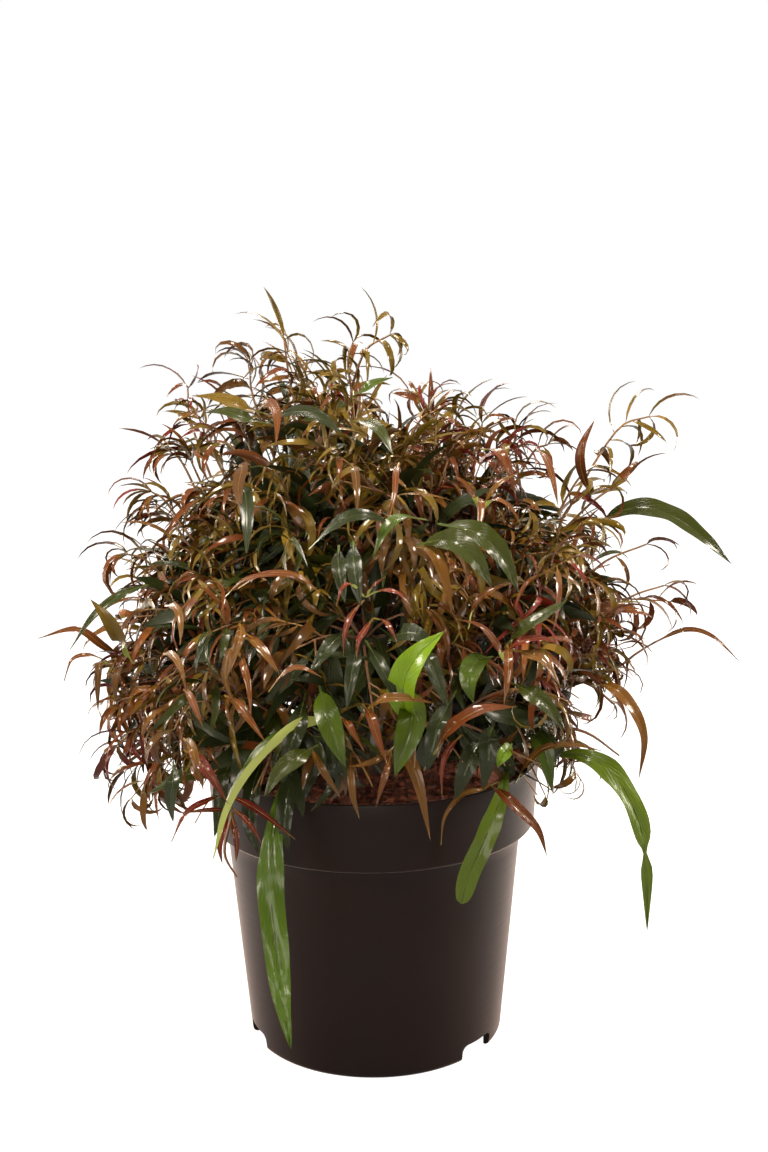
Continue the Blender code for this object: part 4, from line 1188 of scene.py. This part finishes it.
def grow_twig(rng, crown, tier, carrier, end):
    """A twig from the carrier to its end, with old leaves inside and sprays of young ones outside."""
    start, along = carrier.place(nearest_share(carrier, end))
    bend = start.lerp(end, 0.4) + UP * TWIG_LIFT * (end - start).length + along * 0.004
    path = bow(start, bend, end, 6)
    crown.twig(tier, path, TWIG_FOOT_RADIUS, TWIG_TIP_RADIUS)
    limb = Limb(path, TWIG_FOOT_RADIUS, TWIG_TIP_RADIUS)
    mood = mood_at(rng, end)
    shady = "old" in mood["kinds"]
    turn = rng.uniform(0, math.tau)
    old = pick(rng, BROAD_DEALS["old"])
    for k in range(mood["inner"]):
        point, along = limb.place(0.20 + 0.55 * k / mood["inner"])
        way = spread_way(along, turn + k * GOLDEN_TURN, rng.uniform(0.7, 1.2))
        if shady:
            way = (way * 0.6 - UP).normalized()
        crown.leaf(rng, tier, "old", old, point, way)
    outward = (end - HEART).normalized()
    for k in range(2):
        point, along = limb.place(rng.uniform(0.6, 0.95))
        way = (spread_way(along, turn + k * 2.4 + 1.0, rng.uniform(0.4, 1.0)) + outward * 0.4).normalized()
        grow_spray(rng, crown, tier, point, way, rng.uniform(0.014, 0.030), pick(rng, mood["kinds"]), mood)
    point, along = limb.place(1)
    length = 0.016 + 0.030 * rng.random() ** 1.6
    grow_spray(rng, crown, tier, point, (along + outward).normalized(), length, pick(rng, mood["kinds"]), mood)


def grow_crown(rng, places):
    crown = Crown()
    ends = shoot_ends(rng, places)
    for place in places:
        mine = ends[place["name"]]
        tier = place["tier"]
        foot, way = place["bough"].beyond_tip()
        tip = foot.lerp(sum(mine, Vector()) / len(mine), CARRIER_REACH)
        carrier = Limb(route(foot, way, tip, 8), CARRIER_FOOT_RADIUS, CARRIER_TIP_RADIUS)
        crown.twig(tier, carrier.path, CARRIER_FOOT_RADIUS, CARRIER_TIP_RADIUS, 6)
        for end in mine:
            grow_twig(rng, crown, tier, carrier, end)
    for mood, *points in LEAD_SHOOTS:
        path = through(points, 10)
        crown.twig("upper", path, TWIG_TIP_RADIUS * 1.6, TWIG_TIP_RADIUS, 5, "golden")
        leafy_shoot(rng, crown, "upper", path, "young", MOODS[mood])
    for points in BARE_TWIGS:
        crown.twig("lower", through(points, 10), TWIG_FOOT_RADIUS * 1.3, TWIG_TIP_RADIUS)
    return crown


def rotate(vectors, axes, angles):
    """Each row's vector turned about its own axis."""
    cosine = np.cos(angles)[:, None]
    sine = np.sin(angles)[:, None]
    dots = np.sum(vectors * axes, axis=1)[:, None]
    return vectors * cosine + np.cross(axes, vectors) * sine + axes * dots * (1 - cosine)


def blade_width(share):
    """Half width of a leaf along its rib, as a share of the widest: a lance with a long drawn-out tip."""
    peak = 0.36
    rise, fall = 0.62, 0.62 * (1 - peak) / peak
    return (share / peak) ** rise * ((1 - share) / (1 - peak)) ** fall


def strap_width(share):
    """Half width of a broad leaf, as a share of the widest: nearly even from a third on, then a quick point."""
    rise = np.minimum(share / 0.30, 1.0) ** 0.75
    past = np.maximum(share - 0.30, 0.0) / 0.70
    return rise * (1 - past**2.2) ** 0.9


def blunt_width(share):
    """Half width of a ribbon of a leaf with a round end, as a share of the widest."""
    return np.minimum(share / 0.35, 1.0) ** 0.6 * (1 - np.maximum(share - 0.35, 0.0) ** 6 / 0.65**6) ** 0.5


def pinched_width(share):
    """Half width of a broad leaf that turns over near its end, as a share of the widest."""
    return strap_width(share) * (1 - 0.75 * np.exp(-(((share - 0.72) / 0.05) ** 2)))


# Outlines of the leaves that catch the eye, and how deep each is folded along its rib
OUTLINES = {
    "lance": (blade_width, 0.44),
    "strap": (strap_width, 0.36),
    "band": (strap_width, 0.16),
    "ribbon": (blunt_width, 0.30),
    "pinched": (pinched_width, 0.30),
    "keel": (blade_width, 0.95),
}


def leaf_shapes(rows, stations, outline):
    """Rings of four corners, ribs, upper sides and ways across, of leaves from rows of sizes and bends."""
    rows = np.asarray(rows, float)
    point, way, face = rows[:, 0:3], rows[:, 3:6], rows[:, 6:9]
    length, width, bend, curl, twist, fold = rows[:, 9:15].T
    axis = np.cross(way, face)
    shape = (len(rows), len(stations), 3)
    rings = np.empty((len(rows), len(stations), 4, 3))
    rib, upper, across = np.empty(shape), np.empty(shape), np.empty(shape)
    previous = 0.0
    for k, share in enumerate(stations):
        step = share - previous
        if step:
            way = rotate(way, axis, -bend * step * (0.55 + 0.9 * share))
            face = np.cross(axis, way)
            way = rotate(way, face, curl * step * 1.5)
            axis = np.cross(way, face)
            point = point + way * (length * step)[:, None]
        turned_face = rotate(face, way, twist * share)
        side = np.cross(way, turned_face)
        half = outline(max(share - 0.05, 0) / 0.95) * width / 2
        half = np.where(share < 0.10, PETIOLE_HALF_WIDTH, half)
        lift = half * fold
        rings[:, k, 0] = point + side * half[:, None] + turned_face * lift[:, None]
        rings[:, k, 1] = point - turned_face * LEAF_THICKNESS / 2
        rings[:, k, 2] = point - side * half[:, None] + turned_face * lift[:, None]
        rings[:, k, 3] = point + turned_face * LEAF_THICKNESS / 2
        rib[:, k] = point
        upper[:, k] = turned_face
        across[:, k] = side
        previous = share
    return rings, rib, upper, across


def keeps_clear(ribs):
    """Which lines stay out of the pot and above the height that foliage hangs to, high over the open soil."""
    x, y, z = ribs[..., 0], ribs[..., 1], ribs[..., 2]
    radius = np.hypot(x, y)
    way = polar(WINDOW_TURN, 1, 0)
    window = np.maximum(0, x * way.x + y * way.y) / np.maximum(radius, GAP)
    lift = WINDOW_LIFT + WINDOW_SLOPE * np.maximum(0, radius - RIM_RADIUS)
    too_low = z < HANG_HEIGHT + lift * window**3
    too_far = radius > LONGEST_REACH
    in_pot = (radius < RIM_RADIUS + LEAF_CLEARANCE) & (z < POT_HEIGHT + LEAF_CLEARANCE)
    return ~(too_low | too_far | in_pot).any(axis=1)


def fills_sky_gap(ribs):
    """Which leaves cross the gaps that run through the crown from the front to the sky behind."""
    eye = np.array(EYE)
    seen = ribs - eye
    inside = np.zeros(ribs.shape[:-1], bool)
    for x, z, radius in SKY_GAPS:
        way = np.array((x, 0, z)) * MM - eye
        way /= np.linalg.norm(way)
        off = np.linalg.norm(np.cross(seen, way), axis=-1)
        inside |= off < radius * MM
    return inside.any(axis=1)


def long_leaf_sights():
    """Ways and distances from the dome's heart of places along the long leaves, and how wide each one reaches."""
    points = np.concatenate([[tuple(point) for point in through(leaf[5:], 5)[1:]] for leaf in LONG_LEAVES])
    points -= np.array(HEART)
    distance = np.linalg.norm(points, axis=1)
    reach = np.repeat([leaf[2] * MM / 2 + LONG_LEAF_MARGIN for leaf in LONG_LEAVES], 5)
    return points / distance[:, None], distance, np.cos(reach / distance)


def hides(rib, sights):
    """Which leaves hang outside a long leaf, where they would hide it."""
    ways, distances, sharpness = sights
    points = rib - np.array(HEART)
    distance = np.linalg.norm(points, axis=-1)
    hidden = np.zeros(len(rib), bool)
    for way, far, cosine in zip(ways, distances, sharpness):
        near = (points @ way > distance * cosine) & (distance > far - LEAF_CLEARANCE)
        hidden |= near.any(axis=1)
    return hidden


def ring_faces(rings, around):
    """Quads and end triangles of a closed skin: a root point, rings of corners, and a tip point."""
    quads = []
    for k in range(rings - 1):
        for j in range(around):
            a, b = 1 + around * k + j, 1 + around * k + (j + 1) % around
            quads.append((a, a + around, b + around, b))
    triangles = []
    tip = 1 + around * rings
    for j in range(around):
        after = (j + 1) % around
        triangles.append((0, 1 + j, 1 + after))
        triangles.append((tip, tip - around + after, tip - around + j))
    return np.array(quads), np.array(triangles)


def skin_object(name, rings, roots, tips, smooth_below, across=None, pace=1.0):
    """Closed skins joined into one object, from arrays of rings with a point at each end.

    Where it's told how far across each corner of a ring is, the skins get a map of across and along.
    """
    count, along, around = rings.shape[:3]
    corners = np.concatenate([roots[:, None], rings.reshape(count, -1, 3), tips[:, None]], axis=1)
    each = corners.shape[1]
    groups = []
    for faces in ring_faces(along, around):
        sides = faces.shape[1]
        groups.append((faces[None] + each * np.arange(count)[:, None, None]).reshape(-1, sides))
    obj = mesh_object(name, corners.reshape(-1, 3), groups, smooth_below)
    if across is not None:
        side = np.concatenate([[0.0], np.tile(across, along), [0.0]])
        run = np.concatenate([[0.0], np.repeat(np.arange(1, along + 1), around), [along + 1]]) / (along + 1) * pace
        places = np.tile(np.stack([side, run], axis=1), (count, 1)).astype(np.float32)
        index = np.empty(len(obj.data.loops), np.int32)
        obj.data.loops.foreach_get("vertex_index", index)
        obj.data.uv_layers.new(name="blade").data.foreach_set("uv", places[index].ravel())
    return obj


def build_leaves(crown, places, materials):
    """Broad leaves in one piece for each tier and tint, slim ones in an outer and a stalk part, and their ribs."""
    nodes = {tier: [place["name"] for place in places if place["tier"] == tier] for tier in TIERS}
    sights = long_leaf_sights()
    for (tier, broad), grown in crown.leaves.items():
        rows, tints, near_stalk = (np.array(column) for column in zip(*grown))
        shape = (BROAD_STATIONS, strap_width) if broad else (SLIM_STATIONS, blade_width)
        rings, rib, upper, across = leaf_shapes(rows, *shape)
        clear = keeps_clear(rib) & ~fills_sky_gap(rib) & ~hides(rib, sights)
        rings, rib, upper, across = rings[clear], rib[clear], upper[clear], across[clear]
        if broad:
            parts = (("broad_leaves", tints[clear], 0, len(BROAD_STATIONS) - 1),)
        else:
            last = len(SLIM_STATIONS) - 1
            parts = (
                ("slim_leaves", tints[clear], SLIM_JOINT, last),
                ("slim_leaf_feet", near_stalk[clear], 0, SLIM_JOINT),
            )
        for title, dealt, first, last in parts:
            inner = slice(max(first, 1), min(last + 1, rings.shape[1] - 1))
            for tint in sorted(set(dealt)):
                mine = dealt == tint
                skins = rings[mine][:, inner], rib[mine][:, first], rib[mine][:, last]
                piece = skin_object(f"{title}_{tier}_{tint}", *skins, 75, (1, 0, -1, 0), 3.0 if broad else 1.5)
                finished(piece, TINTS[tint][2], materials[tint], *nodes[tier])
        name, length, look = (f"ribs_{tier}", 6, "vein") if broad else (f"leafstalks_{tier}", 4, "stalk")
        veins = vein_rings(rib, upper, across, length)
        piece = skin_object(name, veins[:, 1:-1], veins[:, 0].mean(axis=1), veins[:, -1].mean(axis=1), 60)
        finished(piece, VEIN_TINT[2], materials[look], *nodes[tier])


def vein_rings(rib, upper, across, length):
    """Rings of a slim three-sided rib on top of each leaf, over the given number of stations from its root."""
    taper = np.linspace(1.0, 0.25, length)[None, :, None]
    middle, up, side = rib[:, :length], upper[:, :length], across[:, :length]
    rings = np.empty((len(rib), length, 3, 3))
    rings[:, :, 0] = middle + side * 0.00040 * taper + up * LEAF_THICKNESS * 0.3
    rings[:, :, 1] = middle - side * 0.00040 * taper + up * LEAF_THICKNESS * 0.3
    rings[:, :, 2] = middle + up * (LEAF_THICKNESS / 2 + 0.00026 * taper)
    return rings


def through(points, steps):
    """Points of a smooth curve through the given ones, which are in millimetres."""
    given = [Vector(point) * MM for point in points]
    run = [given[0] * 2 - given[1], *given, given[-1] * 2 - given[-2]]
    path = []
    for k in range(steps + 1):
        place = (len(given) - 1) * k / steps
        span = min(int(place), len(given) - 2)
        t = place - span
        a, b, c, d = run[span : span + 4]
        path.append(0.5 * (b * 2 + (c - a) * t + (a * 2 - b * 5 + c * 4 - d) * t**2 + (b * 3 - a - c * 3 + d) * t**3))
    return path


def long_leaf(outline, width, facing, wave, *points):
    """(upper rings, under rings, rib rings, root, tip) of a big leaf with quilted veins and wavy edges."""
    path = np.array([tuple(point) for point in through(points, LONG_LEAF_STEPS)])
    ways = np.gradient(path, axis=0)
    ways /= np.linalg.norm(ways, axis=1)[:, None]
    width *= MM
    face = np.array(FACINGS[facing])
    faces = face - ways * (ways @ face)[:, None]
    faces /= np.linalg.norm(faces, axis=1)[:, None]
    share = np.linspace(0, 1, LONG_LEAF_STEPS + 1)[:, None]
    faces = rotate(faces, ways, wave * 0.30 * np.sin(share[:, 0] * 9))
    sides = np.cross(ways, faces)
    stalk = np.clip((share - 0.10) / 0.90, 0, 1)
    widths, deep = OUTLINES[outline]
    half = np.maximum(widths(stalk) * width / 2, np.where(share < 0.12, 0.0006, 0.0))
    u = np.linspace(-1, 1, 2 * LONG_LEAF_ACROSS + 1)[None, :]
    beat = LONG_LEAF_VEINS * share - 1.6 * np.abs(u)
    quilt = 0.00018 * np.abs(np.sin(math.pi * beat)) * (1 - np.abs(u)) * (half / (width / 2))
    fold = half * (deep * np.abs(u) - 0.10 * u**2)
    ripple = wave * 0.24 * half * u**2 * np.sin(share * 26 + np.sign(u) * 1.3)
    ripple = ripple + max(wave - 0.2, 0) * 0.0022 * np.sin(share * 47 + 2.3 * u) * np.sin(share * 31 - 3.1 * u) * (1 - u**2)
    lens = LONG_LEAF_THICKNESS / 2 * (1 - u**2)
    middle = path[:, None] + sides[:, None] * (half * u)[..., None]
    lifts = [fold + ripple + quilt * (kind == 0) + lens * (1 - kind) for kind in range(3)]
    skins = [middle + faces[:, None] * lift[..., None] for lift in lifts]
    inner = slice(1, -1)

    def ring(top, bottom):
        return np.concatenate([top, bottom[:, ::-1][:, inner]], axis=1)[inner]

    rib_half = 0.0006 * (1.1 - share)
    rib_up = (fold + lens)[:, LONG_LEAF_ACROSS, None]
    rib = [path + sides * rib_half * turn + faces * (rib_up + rise) for turn, rise in ((1, 0), (-1, 0), (0, 0.0003))]
    return ring(skins[0], skins[1]), ring(skins[1], skins[2]), np.stack(rib, axis=1)[inner], path[0], path[-1]


def build_long_leaves(materials):
    """The leaves that catch the eye, one piece for each tint, with their pale undersides and ribs apart."""
    grown = [(tint, long_leaf(*looks)) for tint, *looks in LONG_LEAVES]
    ends = [np.array([leaf[k] for _, leaf in grown]) for k in (3, 4)]
    for tint in sorted({tint for tint, _ in grown}):
        mine = [leaf for name, leaf in grown if name == tint]
        rings, roots, tips = (np.array([leaf[k] for leaf in mine]) for k in (0, 3, 4))
        across = np.linspace(-1, 1, 2 * LONG_LEAF_ACROSS + 1)
        across = (*across, *across[::-1][1:-1])
        piece = skin_object(f"long_leaves_{tint}", rings, roots, tips, 60, across, 5.0)
        finished(piece, TINTS[tint][2], materials[tint])
    rings = np.array([leaf[1] for _, leaf in grown])
    finished(skin_object("long_leaf_undersides", rings, *ends, 60), UNDERSIDE_TINT[2], materials["underside"])
    for name, look, tints in (("green", "vein", GREEN_TINTS), ("red", "stalk", set(TINTS) - GREEN_TINTS)):
        mine = [leaf for tint, leaf in grown if tint in tints]
        rings, roots, tips = (np.array([leaf[k] for leaf in mine]) for k in (2, 3, 4))
        finished(skin_object(f"long_leaf_ribs_{name}", rings, roots, tips, 60), VEIN_TINT[2], materials[look])


def leaf_materials():
    materials = {tint: leaf_material(f"{tint}_leaf", *looks[:2]) for tint, looks in TINTS.items()}
    materials["vein"] = leaf_material("leaf_rib", *VEIN_TINT[:2])
    materials["stalk"] = leaf_material("leafstalk", *STALK_TINT[:2])
    materials["underside"] = leaf_material("leaf_underside", *UNDERSIDE_TINT[:2])
    return materials


def build_twigs(crown, places):
    skins = {
        "brown": bark_material("brown_twig", (0.060, 0.024, 0.010), (0.150, 0.062, 0.022)),
        "golden": bark_material("golden_shoot", (0.080, 0.032, 0.010), (0.170, 0.082, 0.016)),
    }
    for (tier, skin), tubes in crown.twigs.items():
        nodes = [place["name"] for place in places if place["tier"] == tier]
        finished(join_tubes(f"{skin}_twigs_{tier}", tubes), "young_shoot", skins[skin], *nodes)


# Studio


def build_studio():
    deselect()
    bpy.ops.mesh.primitive_plane_add(size=8, location=(0, 0, -0.0002))
    floor = bpy.context.object
    floor.name = "studio_floor"
    material, tree, shader = new_material("studio_white", (0.20, 0.20, 0.20), 0.9)
    shader.inputs["Specular IOR Level"].default_value = 0.1
    shader.inputs["Emission Color"].default_value = (1.0, 1.0, 1.0, 1.0)
    place = tree.nodes.new("ShaderNodeTexCoord")
    axes = tree.nodes.new("ShaderNodeSeparateXYZ")
    tree.links.new(place.outputs["Object"], axes.inputs["Vector"])
    behind = add_range(tree, axes.outputs["Y"], 0.24, 0.75)
    behind.inputs["From Min"].default_value = -0.05
    behind.inputs["From Max"].default_value = 0.30
    seen = tree.nodes.new("ShaderNodeLightPath")
    shine = add_range(tree, seen.outputs["Is Camera Ray"], 0.02, 0.98)
    tree.links.new(behind.outputs["Result"], shine.inputs["To Min"])
    tree.links.new(shine.outputs["Result"], shader.inputs["Emission Strength"])
    floor.data.materials.append(material)
    world = bpy.data.worlds.new("studio_world")
    bpy.context.scene.world = world
    world.use_nodes = True
    light_the_room(world.node_tree)
    lights = (
        ("left_softbox", (-1.2, -0.35, 0.80), 0.25, 27.0),
        ("right_softbox", (1.2, -0.15, 0.80), 0.25, 25.0),
        ("top_softbox", (0.0, -0.35, 1.40), 0.30, 29.0),
        ("front_softbox", (-0.2, -1.4, 1.00), 0.25, 8.0),
        ("low_softbox", (-0.05, -1.25, 0.28), 0.50, 7.0),
        ("rear_left_softbox", (-1.0, 0.45, 0.12), 0.50, 22.0),
        ("rear_right_softbox", (1.0, 0.45, 0.12), 0.50, 23.0),
        ("rear_top_softbox", (0.0, 1.0, 1.00), 0.30, 9.0),
    )
    for name, place, size, power in lights:
        lamp = bpy.data.lights.new(name, "AREA")
        lamp.size = size
        lamp.energy = power
        lamp.color = (1.0, 0.90, 0.78)
        obj = bpy.data.objects.new(name, lamp)
        obj.location = place
        obj.rotation_euler = (HEART - Vector(place)).to_track_quat("-Z", "Y").to_euler()
        bpy.context.scene.collection.objects.link(obj)


def light_the_room(tree):
    """A white backdrop to look at, and a softer glow to light with, brighter behind the plant than in front."""
    backdrop = tree.nodes["Background"]
    backdrop.inputs["Color"].default_value = (1.0, 1.0, 1.0, 1.0)
    backdrop.inputs["Strength"].default_value = 1.0
    glow = tree.nodes.new("ShaderNodeBackground")
    glow.inputs["Color"].default_value = (1.0, 0.93, 0.85, 1.0)
    towards = tree.nodes.new("ShaderNodeTexCoord")
    axes = tree.nodes.new("ShaderNodeSeparateXYZ")
    depth = tree.nodes.new("ShaderNodeMapRange")
    depth.inputs["From Min"].default_value = -0.75
    depth.inputs["From Max"].default_value = 0.20
    depth.inputs["To Min"].default_value = 0.12
    depth.inputs["To Max"].default_value = 0.70
    seen = tree.nodes.new("ShaderNodeLightPath")
    choice = tree.nodes.new("ShaderNodeMixShader")
    tree.links.new(towards.outputs["Generated"], axes.inputs["Vector"])
    tree.links.new(axes.outputs["Y"], depth.inputs["Value"])
    tree.links.new(depth.outputs["Result"], glow.inputs["Strength"])
    tree.links.new(seen.outputs["Is Camera Ray"], choice.inputs["Fac"])
    tree.links.new(glow.outputs["Background"], choice.inputs[1])
    tree.links.new(backdrop.outputs["Background"], choice.inputs[2])
    tree.links.new(choice.outputs["Shader"], tree.nodes["World Output"].inputs["Surface"])


def build_camera():
    """A 50 mm lens 0.885 m in front of the pot's axis, looking a little down."""
    pitch, pan, roll = 0.1880, 0.0085, -0.0115
    forward = Vector((math.sin(pan) * math.cos(pitch), math.cos(pan) * math.cos(pitch), -math.sin(pitch)))
    right = Vector((math.cos(pan), -math.sin(pan), 0))
    above = right.cross(forward)
    rolled_right = right * math.cos(roll) + above * math.sin(roll)
    rolled_up = above * math.cos(roll) - right * math.sin(roll)
    data = bpy.data.cameras.new("camera")
    data.lens = 50
    data.sensor_width = 36
    data.sensor_fit = "AUTO"
    camera = bpy.data.objects.new("camera", data)
    axes = Matrix((rolled_right, rolled_up, -forward)).transposed().to_4x4()
    camera.matrix_world = Matrix.Translation(EYE) @ axes
    bpy.context.scene.collection.objects.link(camera)
    bpy.context.scene.camera = camera


def main():
    bpy.context.scene.view_settings.view_transform = "Standard"
    build_camera()
    build_studio()
    build_pot()
    build_soil()
    rng = random.Random(SEED)
    build_crumbs(rng)
    places = mass_places()
    stems, boughs = grow_limbs(places)
    bark = build_limb_pieces(stems, boughs)
    build_stool(bark)
    crown = grow_crown(rng, places)
    materials = leaf_materials()
    build_leaves(crown, places, materials)
    build_long_leaves(materials)
    build_twigs(crown, places)


main()
